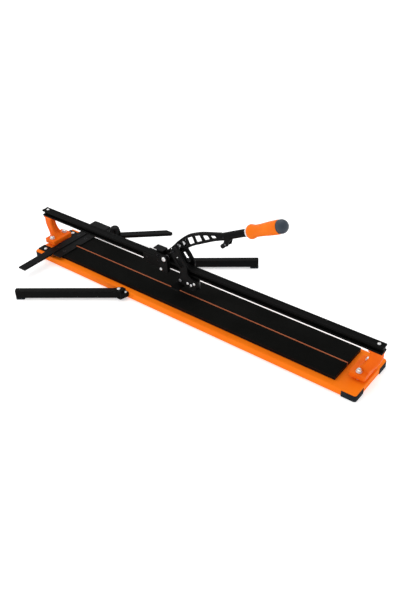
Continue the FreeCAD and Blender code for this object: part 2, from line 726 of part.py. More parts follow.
# ---- handle lever ----
# Upper outline of the arm from the pivot end to the tube, and its lower outline back to the elbow.
ARM_UPPER = ((-92, 172), (-89, 182), (-74, 197), (-58, 213), (-36, 238), (-12, 261), (10, 278),
             (34, 290.5), (58, 301), (82, 309), (108, 316.5), (137.4, 325.3))
ARM_LOWER = ((148.9, 303), (130, 295.5), (106, 284.5), (80, 270.5), (53, 256), (26, 240.5), (7, 227),
             (-8, 216), (-22, 204), (-34, 190), (-46, 176))
LEG_BOLTS = ((-39.0, 205.0), (-28.0, 224.0))
TONGUE_START = -36.0
TONGUE_LENGTH = 34.0
TONGUE_HALF = 8.3
TUBE_SCREW_AT = -18.0
HEEL = ((-60, 163), (PIVOT_X + 8, 156), (PIVOT_X, 153), (-92, 157))
REAR_WINDOW = ((-86, 177), (-83, 184), (-57, 209.5), (-51, 206), (-57, 193), (-72, 177))
WINDOW_LEFTS = (-23.0, 1.0, 31.0, 63.0, 93.0)
WINDOW_WIDTHS = (20.0, 24.0, 25.0, 24.0, 22.0)
WINDOW_LEAN = 9.0
WINDOW_CORNER = 2.5
UPPER_CHORD = 11.0
LOWER_CHORD = 10.0
BOSS_HALF = 6.5


def on_tube(distance, offset=0.0):
    """A point in the XZ plane on the tube's axis, offset square to it."""
    x = TUBE_X + distance * math.cos(GRIP_TILT) - offset * math.sin(GRIP_TILT)
    z = TUBE_Z + distance * math.sin(GRIP_TILT) + offset * math.cos(GRIP_TILT)
    return (x, z)


def window_outline(index):
    """One window between the arm's chords, slanted like its neighbours and smaller to the right."""
    left = WINDOW_LEFTS[index]
    right = left + WINDOW_WIDTHS[index]
    corners = [(x, chord_height(x, True)) for x in (left, right)]
    return corners + [(x, chord_height(x, False)) for x in (right + WINDOW_LEAN, left + WINDOW_LEAN)]


def chord_height(x, upper):
    """Inner edge of the upper or lower chord at x."""
    if upper:
        return interpolate(ARM_UPPER, x) - UPPER_CHORD
    return interpolate(ARM_LOWER[::-1], x) + LOWER_CHORD


def interpolate(points, x):
    for (x0, z0), (x1, z1) in zip(points, points[1:]):
        if x0 <= x <= x1:
            return z0 + (z1 - z0) * (x - x0) / (x1 - x0)
    return points[-1][1]


def handle_arm():
    """Cast arm with slanted windows, a pivot boss at one end and a tongue for the tube."""
    tongue_end = TONGUE_START + TONGUE_LENGTH
    tongue = [on_tube(TONGUE_START, TONGUE_HALF), on_tube(tongue_end, TONGUE_HALF),
              on_tube(tongue_end, -TONGUE_HALF), on_tube(TONGUE_START, -TONGUE_HALF)]
    upper = spline_edge(ARM_UPPER, -WEB_HALF)
    lower = spline_edge(ARM_LOWER, -WEB_HALF)
    heel_points = (ARM_LOWER[-1],) + HEEL + (ARM_UPPER[0],)
    heel = Part.makePolygon([Vector(x, -WEB_HALF, z) for x, z in heel_points])
    nose = Part.makePolygon([Vector(x, -WEB_HALF, z) for x, z in (ARM_UPPER[-1], ARM_LOWER[0])])
    outline = Part.Wire(Part.__sortEdges__([upper, lower] + heel.Edges + nose.Edges))
    body = Part.Face(outline).extrude(Vector(0, 2 * WEB_HALF, 0))
    body = fuse(body, plate_y(tongue, -WEB_HALF, WEB_HALF))
    body = fuse(body, cross_pin(10.0, PIVOT_X, PIVOT_Z, -BOSS_HALF, BOSS_HALF))
    reach = BOSS_HALF + CUT
    for outline in [window_outline(index) for index in range(len(WINDOW_LEFTS))] + [REAR_WINDOW]:
        body = body.cut(round_edges(plate_y(outline, -reach, reach), WINDOW_CORNER, Y_AXIS))
    for x, z in LEG_BOLTS:
        body = body.cut(cross_pin(M6_HOLE, x, z, -reach, reach))
    hole_x, hole_z = on_tube(TUBE_SCREW_AT)
    body = body.cut(cross_pin(HANDLE_SCREW_R + SHAFT_SLACK, hole_x, hole_z, -reach, reach))
    return body.cut(cross_pin(M10_R + PIN_SLACK, PIVOT_X, PIVOT_Z, -reach, reach))


LEG_OUTLINE = (
    (-51, 188), (-50, 208), (-42, 228), (-32, 237), (-20, 232), (-17, 216), (-12, 204), (-1, 190),
    (9, 175), (14, 161), (13, 147), (16, 136), (30, 126), (50, 122), (54, 104), (46, 88), (30, 80),
    (14, 82), (2, 90), (-14, 94), (-28, 96), (-29, 112), (-18, 126), (-19, 144), (-25, 153), (-38, 169),
)
LEG_SLOT = ((-36, 183), (-25, 192), (-1, 165), (-14, 153))
HOLDER_BOLT = (14.0, 104.0)
HOLDER_SCREWS = ((28.0, 101.0), (41.0, 111.0))
SCREW_END = -2.5
REAR_TOE_X = 23.0


def fork_leg(side):
    """One leg of the fork that straddles the rail and carries the wheel holder and the foot."""
    y0, y1 = sorted((side * LEG_INNER, side * LEG_OUTER))
    leg = round_edges(plate_y(LEG_OUTLINE, y0, y1), 2.5, Y_AXIS)
    outer_face = max(leg.Faces, key=lambda face: side * face.CenterOfMass.y)
    leg = leg.makeChamfer(1.2, outer_face.OuterWire.Edges)
    leg = leg.cut(round_edges(plate_y(LEG_SLOT, y0 - CUT, y1 + CUT), 2.5, Y_AXIS))
    for x, z in LEG_BOLTS + (HOLDER_BOLT,) + HOLDER_SCREWS:
        leg = leg.cut(cross_pin(M6_HOLE, x, z, y0 - CUT, y1 + CUT))
    if side > 0:
        leg = leg.cut(box(REAR_TOE_X, 60, y0 - CUT, y1 + CUT, 70, 131))
    return leg.cut(cross_pin(M8_HOLE, FOOT_PIN_X, FOOT_PIN_Z, y0 - CUT, y1 + CUT))


def leg_spacers():
    rings = []
    for x, z in LEG_BOLTS:
        for start in (-LEG_INNER, WEB_HALF):
            rings.append(tube(7.5, M6_HOLE, (x, start, z), Y_AXIS, LEG_INNER - WEB_HALF))
    return Part.makeCompound(rings)


def leg_bolts():
    return Part.makeCompound([through_bolt(M6_R, x, z, LEG_OUTER, 5.0, 3.0) for x, z in LEG_BOLTS])


def fork_bolts():
    """The bolt through both legs and the wheel holder, and two screws into the holder from the front."""
    bolts = [through_bolt(M6_R, *HOLDER_BOLT, LEG_OUTER, 5.0, 3.0)]
    for x, z in HOLDER_SCREWS:
        bolts.append(fuse(cross_pin(M6_R, x, z, -LEG_OUTER, SCREW_END), dome_y(5.0, 3.0, x, z, -LEG_OUTER, -1)))
    return Part.makeCompound(bolts)


def wheel_holder():
    """Block between the legs, slotted for the cutting wheel, with its rear corner cut away."""
    outline = [(6, 92), (12, 78), (22, 76), (34, 76), (46, 82), (50, 96), (50, 116), (6, 112)]
    block = round_edges(plate_y(outline, -LEG_INNER, LEG_INNER), 2, Y_AXIS)
    block = block.cut(box(14, 41.5, -3.2, 3.2, 70, 97.5))
    corner = [(52.5, -12), (44, 4), (31, LEG_INNER + CUT), (62, LEG_INNER + CUT), (62, -12)]
    block = block.cut(plate_z(corner, 70, 120))
    reach = LEG_INNER + CUT
    for side in (-1, 1):
        y0, y1 = sorted((side * 10.5, side * reach))
        block = block.cut(box(0, 60, y0, y1, 70, 82))
    block = block.cut(cross_pin(M6_HOLE, *HOLDER_BOLT, -reach, reach))
    for x, z in HOLDER_SCREWS:
        block = block.cut(cross_pin(M6_HOLE, x, z, -reach, SCREW_END + 0.5))
    return block.cut(cross_pin(AXLE_R + SHAFT_SLACK, WHEEL_X, WHEEL_Z, -reach, reach))


def wheel_axle():
    return cross_pin(AXLE_R, WHEEL_X, WHEEL_Z, -LEG_INNER + 0.5, LEG_INNER - 0.5)


def cutting_wheel():
    """Bevelled scoring wheel with a hub."""
    bore = AXLE_R + PIN_SLACK
    half = 2.6
    profile = [(bore, -half), (6, -half), (6, -1.4), (8.5, -1.4), (WHEEL_R, 0),
               (8.5, 1.4), (6, 1.4), (6, half), (bore, half)]
    points = [Vector(WHEEL_X + r, y, WHEEL_Z) for r, y in profile]
    face = Part.Face(Part.makePolygon(points + [points[0]]))
    return face.revolve(Vector(WHEEL_X, 0, WHEEL_Z), Y_AXIS, 360)


FOOT_X0 = -43.0
FOOT_X1 = -10.0
FOOT_HALF = 46.0
FOOT_FLAT = 6.0
FOOT_MIDDLE_Z = 79.0
FOOT_END_Z = 75.5
PAD_THICK = 2.5


def breaker_foot():
    """Wide presser foot: a bar across the break line, hung from the legs by a lug."""
    wing = [(-FOOT_HALF, FOOT_END_Z), (-FOOT_FLAT, FOOT_MIDDLE_Z), (FOOT_FLAT, FOOT_MIDDLE_Z),
            (FOOT_HALF, FOOT_END_Z), (FOOT_HALF, 79.5), (12, 84), (-12, 84), (-FOOT_HALF, 79.5)]
    corners = [Vector(FOOT_X0, y, z) for y, z in wing]
    bar = Part.Face(Part.makePolygon(corners + [corners[0]])).extrude(Vector(FOOT_X1 - FOOT_X0, 0, 0))
    lug_outline = [(-36, 82), (-4.5, 82), (-7, 98), (-14, 112), (-22, 112), (-30, 98)]
    lug = round_edges(plate_y(lug_outline, -LEG_INNER + 0.6, LEG_INNER - 0.6), 3, Y_AXIS)
    body = fuse(bar, lug)
    return body.cut(cross_pin(M8_R + PIN_SLACK, FOOT_PIN_X, FOOT_PIN_Z, -LEG_INNER, LEG_INNER))


def wing_underside(y):
    """Height of the foot's underside, flat in the middle and sloping down to both ends."""
    slope = (FOOT_MIDDLE_Z - FOOT_END_Z) / (FOOT_HALF - FOOT_FLAT)
    return FOOT_MIDDLE_Z - slope * (abs(y) - FOOT_FLAT)


def breaker_pads():
    pads = []
    x0 = FOOT_X0 + 1
    for y0, y1 in ((-FOOT_HALF + 1, -8.0), (8.0, FOOT_HALF - 1)):
        z0 = wing_underside(y0)
        z1 = wing_underside(y1)
        corners = [Vector(x0, y0, z0), Vector(x0, y1, z1),
                   Vector(x0, y1, z1 - PAD_THICK), Vector(x0, y0, z0 - PAD_THICK)]
        face = Part.Face(Part.makePolygon(corners + [corners[0]]))
        pads.append(face.extrude(Vector(FOOT_X1 - 1 - x0, 0, 0)))
    return Part.makeCompound(pads)


def breaker_pin():
    return through_bolt(M8_R, FOOT_PIN_X, FOOT_PIN_Z, LEG_OUTER, 6.0, 3.0)


def grip_point(distance):
    x, z = on_tube(distance)
    return Vector(x, 0, z)


TUBE_START = -29.3
TUBE_WALL = 1.8
TUBE_IN_GRIP = 96.0
FERRULE_LENGTH = 8.0
GRIP_START = 78.0
GRIP_LENGTH = 114.0
CAP_LENGTH = 28.0


def handle_tube():
    length = GRIP_START + TUBE_IN_GRIP - TUBE_START
    start = grip_point(TUBE_START)
    shell = Part.makeCylinder(TUBE_R, length, start, GRIP_AXIS)
    shell = shell.cut(Part.makeCylinder(TUBE_R - TUBE_WALL, length, start, GRIP_AXIS))
    hole_x, hole_z = on_tube(TUBE_SCREW_AT)
    reach = TUBE_R + CUT
    return shell.cut(cross_pin(HANDLE_SCREW_R + SHAFT_SLACK, hole_x, hole_z, -reach, reach))


def tube_screw():
    """The screw that pins the tube to the arm's tongue."""
    hole_x, hole_z = on_tube(TUBE_SCREW_AT)
    return through_bolt(HANDLE_SCREW_R, hole_x, hole_z, TUBE_R, 4.0, 2.0)


def laser_screw():
    """The laser clip's pivot screw."""
    return through_bolt(HANDLE_SCREW_R, LASER_X, LASER_Z, CLIP_OUTER, 3.4, 2.0)


def ferrule():
    start = grip_point(GRIP_START - FERRULE_LENGTH)
    ring = Part.makeCylinder(TUBE_R + 2.2, FERRULE_LENGTH, start, GRIP_AXIS)
    return ring.cut(Part.makeCylinder(TUBE_R + SHAFT_SLACK, FERRULE_LENGTH, start, GRIP_AXIS))


def revolved_on_grip(profile_edges):
    face = Part.Face(Part.Wire(profile_edges))
    return face.revolve(grip_point(0), GRIP_AXIS, 360)


def grip_station(distance, radius):
    x, z = on_tube(GRIP_START + distance, radius)
    return Vector(x, 0, z)


# Grip profile from its collar to the cap: distance along the axis, radius.
GRIP_COLLAR_R = 16.5
GRIP_END_R = 21.3
CAP_R = 20.8
GRIP_PROFILE = ((0, GRIP_COLLAR_R), (3.5, 20.0), (9, 22.3), (15, 22.0), (22, 19.6), (30, 18.2),
                (46, 18.4), (66, 19.6), (86, 20.8), (102, 21.3), (GRIP_LENGTH, GRIP_END_R))


def grip():
    bore = TUBE_R + SHAFT_SLACK
    curve = Part.BSplineCurve()
    curve.interpolate([grip_station(s, r) for s, r in GRIP_PROFILE])
    inner = Part.makePolygon([grip_station(GRIP_LENGTH, GRIP_END_R), grip_station(GRIP_LENGTH, bore),
                              grip_station(0, bore), grip_station(0, GRIP_COLLAR_R)])
    return revolved_on_grip([curve.toShape()] + inner.Edges)


def grip_cap():
    start = GRIP_LENGTH
    tip = start + CAP_LENGTH
    knee = tip - CAP_R
    corner = Part.makePolygon([grip_station(start, 0), grip_station(start, CAP_R - 0.8),
                               grip_station(start + 3, CAP_R), grip_station(knee, CAP_R)])
    bend = CAP_R * math.sqrt(0.5)
    middle = grip_station(knee + bend, bend)
    arc = Part.Arc(grip_station(knee, CAP_R), middle, grip_station(tip, 0)).toShape()
    axis_edge = Part.makeLine(grip_station(tip, 0), grip_station(start, 0))
    return revolved_on_grip(corner.Edges + [arc, axis_edge])


LASER_TILT = math.radians(224.0)
LASER_R = 7.2
LASER_LENGTH = 31.0
CLIP_INNER = 7.7
CLIP_OUTER = 9.7
CLIP_EAR = ((155, 312), (172, 322), (174, 312), (169, 293), (160, 288), (152, 291), (152, 300))
CLIP_WEB = ((164, 318), (174, 322), (176, 314), (168, 303), (163, 308))
LASER_AXIS = Vector(math.cos(LASER_TILT), 0, math.sin(LASER_TILT))
LASER_BACK = 6.0
LENS_R = 4.0
LENS_THICK = 0.8
LENS_RECESS = 1.5


def laser_point(distance):
    """A point on the barrel's axis, from its back end."""
    return Vector(LASER_X, 0, LASER_Z).add(LASER_AXIS * (distance - LASER_BACK))


def laser_bracket():
    """Clip under the handle tube with two ears around the laser barrel."""
    ears = []
    for side in (-1, 1):
        y0, y1 = sorted((side * CLIP_INNER, side * CLIP_OUTER))
        ears.append(plate_y(CLIP_EAR, y0, y1))
    web = plate_y(CLIP_WEB, -CLIP_OUTER, CLIP_OUTER)
    body = fuse(ears[0], ears[1], web)
    keep_out = Part.makeCylinder(TUBE_R + SHAFT_SLACK, 160, grip_point(TUBE_START - 40), GRIP_AXIS)
    body = body.cut(keep_out)
    body = max(body.Solids, key=lambda solid: solid.Volume)
    reach = CLIP_OUTER + CUT
    return body.cut(cross_pin(HANDLE_SCREW_R + SHAFT_SLACK, LASER_X, LASER_Z, -reach, reach))


def laser_barrel():
    barrel = Part.makeCylinder(LASER_R, LASER_LENGTH, laser_point(0), LASER_AXIS)
    recess = Part.makeCylinder(LENS_R, 5.0, laser_point(LASER_LENGTH - LENS_RECESS), LASER_AXIS)
    pin_hole = cross_pin(HANDLE_SCREW_R + PIN_SLACK, LASER_X, LASER_Z, -LASER_R - CUT, LASER_R + CUT)
    return barrel.cut(recess).cut(pin_hole)


def laser_lens():
    return Part.makeCylinder(LENS_R, LENS_THICK, laser_point(LASER_LENGTH - LENS_RECESS), LASER_AXIS)


# ---- all nodes ----
def build_nodes():
    nodes = {}
    nodes["base_tray"] = base_tray()
    nodes["corner_feet"] = corner_feet()
    nodes["table_front"] = table_half(-1, BASE_TOP, TABLE_TOP - MAT)
    nodes["table_rear"] = table_half(1, BASE_TOP, TABLE_TOP - MAT)
    nodes["table_mat_front"] = mat_half(-1)
    nodes["table_mat_rear"] = mat_half(1)
    nodes["breaking_bar"] = breaking_bar()
    nodes["rail"] = rail()
    nodes["rail_support_near_operator"] = rail_support()
    nodes["rail_support_far_end"] = mirrored_x(rail_support())
    nodes["support_bolts"] = support_bolts()
    nodes["rail_bolts"] = rail_bolts()
    nodes["end_plates"] = end_plates()
    nodes["end_plate_screws"] = end_plate_screws()
    nodes["fence_plate"] = fence_plate()
    nodes["fence_bar"] = fence_bar()
    nodes["fence_screws"] = fence_screws()
    nodes["side_stop"] = side_stop()
    nodes["swing_rule"] = swing_rule()
    nodes["rule_knob"] = rule_knob()
    for name, shape in (("arm_bracket", arm_bracket()), ("support_arm", support_arm()),
                        ("arm_foot", arm_foot())):
        nodes[name + "_front"] = shape
        nodes[name + "_rear"] = to_far_side(shape)
    for name, shape in (("arm_pivot_bolts", arm_pivot_bolt()), ("bracket_top_bolts", bracket_top_bolt()),
                        ("bracket_screws", bracket_screw())):
        nodes[name] = Part.makeCompound([shape, to_far_side(shape)])
    nodes["carriage_plate_front"] = carriage_plate(-1)
    nodes["carriage_plate_rear"] = carriage_plate(1)
    nodes["carriage_block_front"] = carriage_block(-1)
    nodes["carriage_block_rear"] = carriage_block(1)
    nodes["carriage_bridge"] = carriage_bridge()
    nodes["tie_bolt"] = tie_bolt()
    nodes["bridge_screw"] = bridge_screw()
    nodes["pivot_bolt"] = pivot_bolt()
    nodes["return_springs"] = return_springs()
    nodes["roller_pins"] = roller_pins()
    for place, x in zip(("far", "near"), ROLLER_XS):
        nodes["roller_front_" + place] = roller(x, -1)
        nodes["roller_rear_" + place] = roller(x, 1)
    nodes["handle_arm"] = handle_arm()
    nodes["fork_leg_front"] = fork_leg(-1)
    nodes["fork_leg_rear"] = fork_leg(1)
    nodes["leg_spacers"] = leg_spacers()
    nodes["leg_bolts"] = leg_bolts()
    nodes["fork_bolts"] = fork_bolts()
    nodes["wheel_holder"] = wheel_holder()
    nodes["wheel_axle"] = wheel_axle()
    nodes["cutting_wheel"] = cutting_wheel()
    nodes["breaker_foot"] = breaker_foot()
    nodes["breaker_pads"] = breaker_pads()
    nodes["breaker_pin"] = breaker_pin()
    nodes["handle_tube"] = handle_tube()
    nodes["tube_screw"] = tube_screw()
    nodes["laser_screw"] = laser_screw()
    nodes["ferrule"] = ferrule()
    nodes["grip"] = grip()
    nodes["grip_cap"] = grip_cap()
    nodes["laser_bracket"] = laser_bracket()
    nodes["laser_barrel"] = laser_barrel()
    nodes["laser_lens"] = laser_lens()
    return nodes


os.makedirs("parts", exist_ok=True)
for node_name, node_shape in build_nodes().items():
    node_shape.exportStep("parts/" + node_name + ".step")
    print(node_name, len(node_shape.Solids), round(node_shape.Volume / 1000, 1), node_shape.isValid())
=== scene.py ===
import bmesh
import bpy
import json
import math
from mathutils import Matrix, Vector


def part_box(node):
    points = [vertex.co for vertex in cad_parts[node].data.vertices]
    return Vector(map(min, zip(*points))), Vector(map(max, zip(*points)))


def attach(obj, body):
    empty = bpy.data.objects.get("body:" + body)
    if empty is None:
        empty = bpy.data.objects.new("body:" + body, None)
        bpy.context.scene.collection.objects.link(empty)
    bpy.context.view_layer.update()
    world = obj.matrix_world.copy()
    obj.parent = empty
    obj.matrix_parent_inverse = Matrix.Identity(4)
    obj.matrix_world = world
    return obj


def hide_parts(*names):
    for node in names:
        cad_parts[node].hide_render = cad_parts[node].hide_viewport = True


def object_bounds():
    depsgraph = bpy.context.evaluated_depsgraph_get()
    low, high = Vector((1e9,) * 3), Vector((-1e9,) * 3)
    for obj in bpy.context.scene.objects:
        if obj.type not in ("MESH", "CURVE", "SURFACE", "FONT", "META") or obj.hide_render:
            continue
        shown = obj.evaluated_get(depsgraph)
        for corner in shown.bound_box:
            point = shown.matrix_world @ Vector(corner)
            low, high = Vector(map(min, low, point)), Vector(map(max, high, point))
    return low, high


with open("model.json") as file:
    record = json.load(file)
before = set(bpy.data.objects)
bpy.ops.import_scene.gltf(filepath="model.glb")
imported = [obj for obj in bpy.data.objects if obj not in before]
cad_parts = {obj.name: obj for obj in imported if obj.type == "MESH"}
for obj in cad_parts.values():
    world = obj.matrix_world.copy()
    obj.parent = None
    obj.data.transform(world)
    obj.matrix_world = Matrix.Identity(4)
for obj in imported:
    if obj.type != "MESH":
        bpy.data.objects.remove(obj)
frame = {"nodes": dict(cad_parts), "record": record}
CAD_BOX = [list(corner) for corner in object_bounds()]

MM = 0.001
RECORD = frame["record"]
BODY_OF = {node: body for body, nodes in RECORD["behaviour"]["bodies"].items() for node in nodes}
SLOT_OF = {part["node"]: part["material_slot"] for part in RECORD["subparts"]}
Y_AXIS = Vector((0, 1, 0))
Z_AXIS = Vector((0, 0, 1))
SMOOTH_ANGLE = math.radians(38)      # edges sharper than this stay sharp in the shading
BEVEL_ANGLE = math.radians(32)       # edges sharper than this are broken
FLAT_ANGLE = math.radians(0.4)       # faces closer than this to one plane are joined
WELD = 2e-6


# ---------------------------------------------------------------- materials
ORANGE_PEEL = 0.07 * MM


class Surface:
    """A Principled material built up from noise, wear, painted edge highlights and bump, in object
    coordinates in metres.
    """

    def __init__(self, name, color, roughness, metallic=0.0, specular=0.5):
        self.material = bpy.data.materials.new(name)
        self.material.use_nodes = True
        self.tree = self.material.node_tree
        self.shader = self.tree.nodes["Principled BSDF"]
        self.shader.inputs["Metallic"].default_value = metallic
        self.shader.inputs["Specular IOR Level"].default_value = specular
        self.color = self.constant_color(color)
        self.roughness = roughness
        self.heights = []
        self.place = self.node("ShaderNodeTexCoord").outputs["Object"]

    def node(self, kind, **settings):
        """A new node with its settings made."""
        made = self.tree.nodes.new(kind)
        for key, value in settings.items():
            setattr(made, key, value)
        return made

    def join(self, source, target):
        self.tree.links.new(source, target)

    def feed(self, socket, value):
        """Sets a socket to a number or colour, or links another socket to it."""
        if isinstance(value, bpy.types.NodeSocket):
            self.join(value, socket)
        else:
            socket.default_value = value

    def constant_color(self, color):
        return (*color, 1.0)

    def stretched(self, stretch):
        """Object coordinates drawn out or pressed together along each axis."""
        mapping = self.node("ShaderNodeMapping")
        mapping.inputs["Scale"].default_value = stretch
        self.join(self.place, mapping.inputs["Vector"])
        return mapping.outputs["Vector"]

    def ramp(self, value, low, high):
        """A value spread to 0..1 between two levels."""
        ranged = self.node("ShaderNodeMapRange")
        self.feed(ranged.inputs["Value"], value)
        ranged.inputs["From Min"].default_value = low
        ranged.inputs["From Max"].default_value = high
        return ranged.outputs["Result"]

    def noise(self, scale, detail=4.0, low=0.3, high=0.7, stretch=None, rough=0.55):
        """Cloudy noise spread to 0..1 between two levels; scale is in features per metre."""
        texture = self.node("ShaderNodeTexNoise")
        texture.inputs["Scale"].default_value = scale
        texture.inputs["Detail"].default_value = detail
        texture.inputs["Roughness"].default_value = rough
        self.join(self.stretched(stretch) if stretch else self.place, texture.inputs["Vector"])
        return self.ramp(texture.outputs["Fac"], low, high)

    def cells(self, scale, low, high):
        """Rounded cells, 0 at each middle and 1 between them."""
        texture = self.node("ShaderNodeTexVoronoi")
        texture.inputs["Scale"].default_value = scale
        self.join(self.place, texture.inputs["Vector"])
        return self.ramp(texture.outputs["Distance"], low, high)

    def math(self, operation, a, b):
        made = self.node("ShaderNodeMath", operation=operation)
        self.feed(made.inputs[0], a)
        self.feed(made.inputs[1], b)
        return made.outputs[0]

    def edges(self, radius):
        """A mask that is 1 on convex and concave edges within a radius, broken up by noise. The materials
        lighten their edges through it, partly for wear and partly as a painted highlight.
        """
        bevel = self.node("ShaderNodeBevel", samples=4)
        bevel.inputs["Radius"].default_value = radius
        normal = self.node("ShaderNodeNewGeometry").outputs["Normal"]
        dot = self.node("ShaderNodeVectorMath", operation="DOT_PRODUCT")
        self.join(bevel.outputs["Normal"], dot.inputs[0])
        self.join(normal, dot.inputs[1])
        bent = self.math("SUBTRACT", 1.0, dot.outputs["Value"])
        return self.math("MULTIPLY", self.ramp(bent, 0.02, 0.25), self.noise(260, 5, 0.42, 0.62))

    def tint(self, mask, color, strength=1.0):
        """Mixes a colour in where a mask is 1."""
        mix = self.node("ShaderNodeMix", data_type="RGBA")
        if strength != 1.0:
            mask = self.math("MULTIPLY", mask, strength)
        self.feed(mix.inputs["Factor"], mask)
        self.feed(mix.inputs[6], self.color)
        self.feed(mix.inputs[7], self.constant_color(color))
        self.color = mix.outputs[2]
        return self

    def gloss(self, mask, roughness):
        """Moves the roughness towards a value where a mask is 1."""
        mix = self.node("ShaderNodeMix", data_type="FLOAT")
        self.feed(mix.inputs[0], mask)
        self.feed(mix.inputs[2], self.roughness)
        self.feed(mix.inputs[3], roughness)
        self.roughness = mix.outputs[0]
        return self

    def relief(self, height, depth):
        """Adds a bump whose height runs from 0 to a depth in metres."""
        self.heights.append((height, depth))
        return self

    def finish(self):
        """Links up the shader and gives the material."""
        self.feed(self.shader.inputs["Base Color"], self.color)
        self.feed(self.shader.inputs["Roughness"], self.roughness)
        normal = None
        for height, depth in self.heights:
            bump = self.node("ShaderNodeBump")
            bump.inputs["Distance"].default_value = depth
            self.join(height, bump.inputs["Height"])
            if normal:
                self.join(normal, bump.inputs["Normal"])
            normal = bump.outputs["Normal"]
        if normal:
            self.join(normal, self.shader.inputs["Normal"])
        return self.material


def scratches(surface, along, across):
    """Sparse fine lines: noise drawn out along one direction, kept only at its peaks."""
    return surface.noise(1.0, 2.0, 0.66, 0.74, (along, across, across), 0.4)


def powder_coat(name, color, shade, light, roughness, specular):
    """Powder paint: orange peel, slow colour drift, dust, and edges lightened partly as rubbed wear and
    partly as a painted highlight.
    """
    s = Surface(name, color, roughness, specular=specular)
    s.tint(s.noise(7, 3, 0.35, 0.75), shade, 0.55)
    s.tint(s.noise(900, 2, 0.45, 0.8), shade, 0.25)
    # Lighter edges: partly rubbed paint, partly a painted highlight.
    s.tint(s.edges(0.0012), light, 0.55)
    s.gloss(s.noise(30, 5, 0.35, 0.7), roughness + 0.14)
    s.gloss(scratches(s, 14, 900), roughness + 0.3)
    s.relief(s.noise(620, 2, 0.2, 0.8), ORANGE_PEEL)
    s.relief(s.noise(2600, 2, 0.2, 0.8), 0.3 * ORANGE_PEEL)
    return s.finish()


def casting(name, color, shade, light, roughness, specular):
    """Painted casting: coarser skin than sheet, small pits, and edges lightened partly as rubbed wear and
    partly as a painted highlight.
    """
    s = Surface(name, color, roughness, specular=specular)
    s.tint(s.noise(24, 4, 0.35, 0.7), shade, 0.6)
    # Lighter edges: partly rubbed paint, partly a painted highlight.
    s.tint(s.edges(0.0011), light, 0.6)
    s.gloss(s.noise(70, 5, 0.3, 0.7), roughness + 0.16)
    s.relief(s.noise(330, 4, 0.2, 0.8), 0.00022)
    s.relief(s.cells(420, 0.0, 0.25), 0.00005)
    s.relief(s.noise(1900, 2, 0.2, 0.8), 0.00004)
    return s.finish()


def anodised(name, color, light, edge_wear_and_highlight, roughness):
    """Black anodised extrusion with fine die lines along its length, and edges lightened partly as wear and
    partly as a painted highlight.
    """
    s = Surface(name, color, roughness, specular=0.04)
    lines = s.noise(1.0, 3, 0.3, 0.7, (2.5, 1400, 1400), 0.6)
    s.tint(lines, light, 0.35)
    s.tint(s.noise(5, 3, 0.4, 0.75), light, 0.15)
    # Lighter edges: partly worn anodising, partly a painted highlight.
    s.tint(s.edges(0.0014), edge_wear_and_highlight, 0.9)
    s.gloss(lines, roughness + 0.15)
    s.gloss(scratches(s, 9, 700), roughness + 0.25)
    s.relief(lines, 0.00004)
    return s.finish()


def moulded_rubber(name, color, dust):
    """Moulded rubber: dusty clouds, a fine grain, and edges paled partly with dust and partly as a painted
    highlight.
    """
    s = Surface(name, color, 0.8, specular=0.06)
    s.tint(s.noise(22, 5, 0.45, 0.75), dust, 0.5)
    # Paler edges: partly dust, partly a painted highlight.
    s.tint(s.edges(0.0015), dust, 0.5)
    s.gloss(s.noise(60, 4, 0.3, 0.7), 0.64)
    s.relief(s.cells(1100, 0.0, 0.7), 0.00008)
    s.relief(s.noise(240, 3, 0.2, 0.8), 0.00008)
    return s.finish()


def rubber_mat(name, color, dust):
    """Rubber sheet with a fine pebbled face and a trace of tile dust."""
    s = Surface(name, color, 0.78, specular=0.03)
    pebble = s.cells(760, 0.05, 0.6)
    s.tint(pebble, dust, 0.22)
    s.tint(s.noise(9, 5, 0.5, 0.8), dust, 0.35)
    s.tint(s.noise(1.0, 3, 0.62, 0.78, (5, 160, 160)), dust, 0.25)
    s.gloss(s.noise(16, 4, 0.3, 0.7), 0.62)
    s.relief(pebble, 0.00012)
    s.relief(s.noise(2400, 2, 0.2, 0.8), 0.00004)
    return s.finish()


def plated_steel(name, color, warm, cool, roughness):
    """Zinc or ground steel: slight colour drift, tool marks and dull spots."""
    s = Surface(name, color, roughness, metallic=1.0)
    s.tint(s.noise(90, 3, 0.4, 0.7), warm, 0.6)
    s.tint(s.noise(150, 3, 0.45, 0.75), cool, 0.5)
    s.gloss(s.noise(210, 4, 0.35, 0.65), roughness + 0.2)
    s.relief(s.noise(1.0, 2, 0.3, 0.7, (900, 5200, 900), 0.5), 0.00002)
    s.relief(s.noise(700, 3, 0.3, 0.7), 0.00002)
    return s.finish()


def brushed(name, color, dark, roughness, stretch):
    """Bare steel with fine lines, long where the stretch is small."""
    s = Surface(name, color, roughness, metallic=1.0)
    lines = s.noise(1.0, 3, 0.3, 0.7, stretch, 0.6)
    s.tint(lines, dark, 0.5)
    s.tint(s.noise(30, 4, 0.45, 0.75), dark, 0.4)
    s.gloss(lines, roughness + 0.18)
    s.relief(lines, 0.00003)
    return s.finish()


def soft_touch(name, color, shade, light, roughness):
    """Soft-touch moulding: very fine texture, handling marks, a lighter rubbed face, and edges lightened
    partly as rubbing and partly as a painted highlight.
    """
    s = Surface(name, color, roughness, specular=0.08)
    s.shader.inputs["Subsurface Weight"].default_value = 0.06
    s.shader.inputs["Subsurface Radius"].default_value = (0.003, 0.0012, 0.0006)
    s.tint(s.noise(35, 4, 0.35, 0.7), shade, 0.45)
    s.tint(s.noise(14, 3, 0.5, 0.8), light, 0.4)
    # Lighter edges: partly rubbing, partly a painted highlight.
    s.tint(s.edges(0.0015), light, 0.5)
    s.gloss(s.noise(50, 5, 0.3, 0.7), roughness - 0.15)
    s.relief(s.cells(1500, 0.0, 0.6), 0.00005)
    s.relief(s.noise(420, 3, 0.2, 0.8), 0.00006)
    return s.finish()


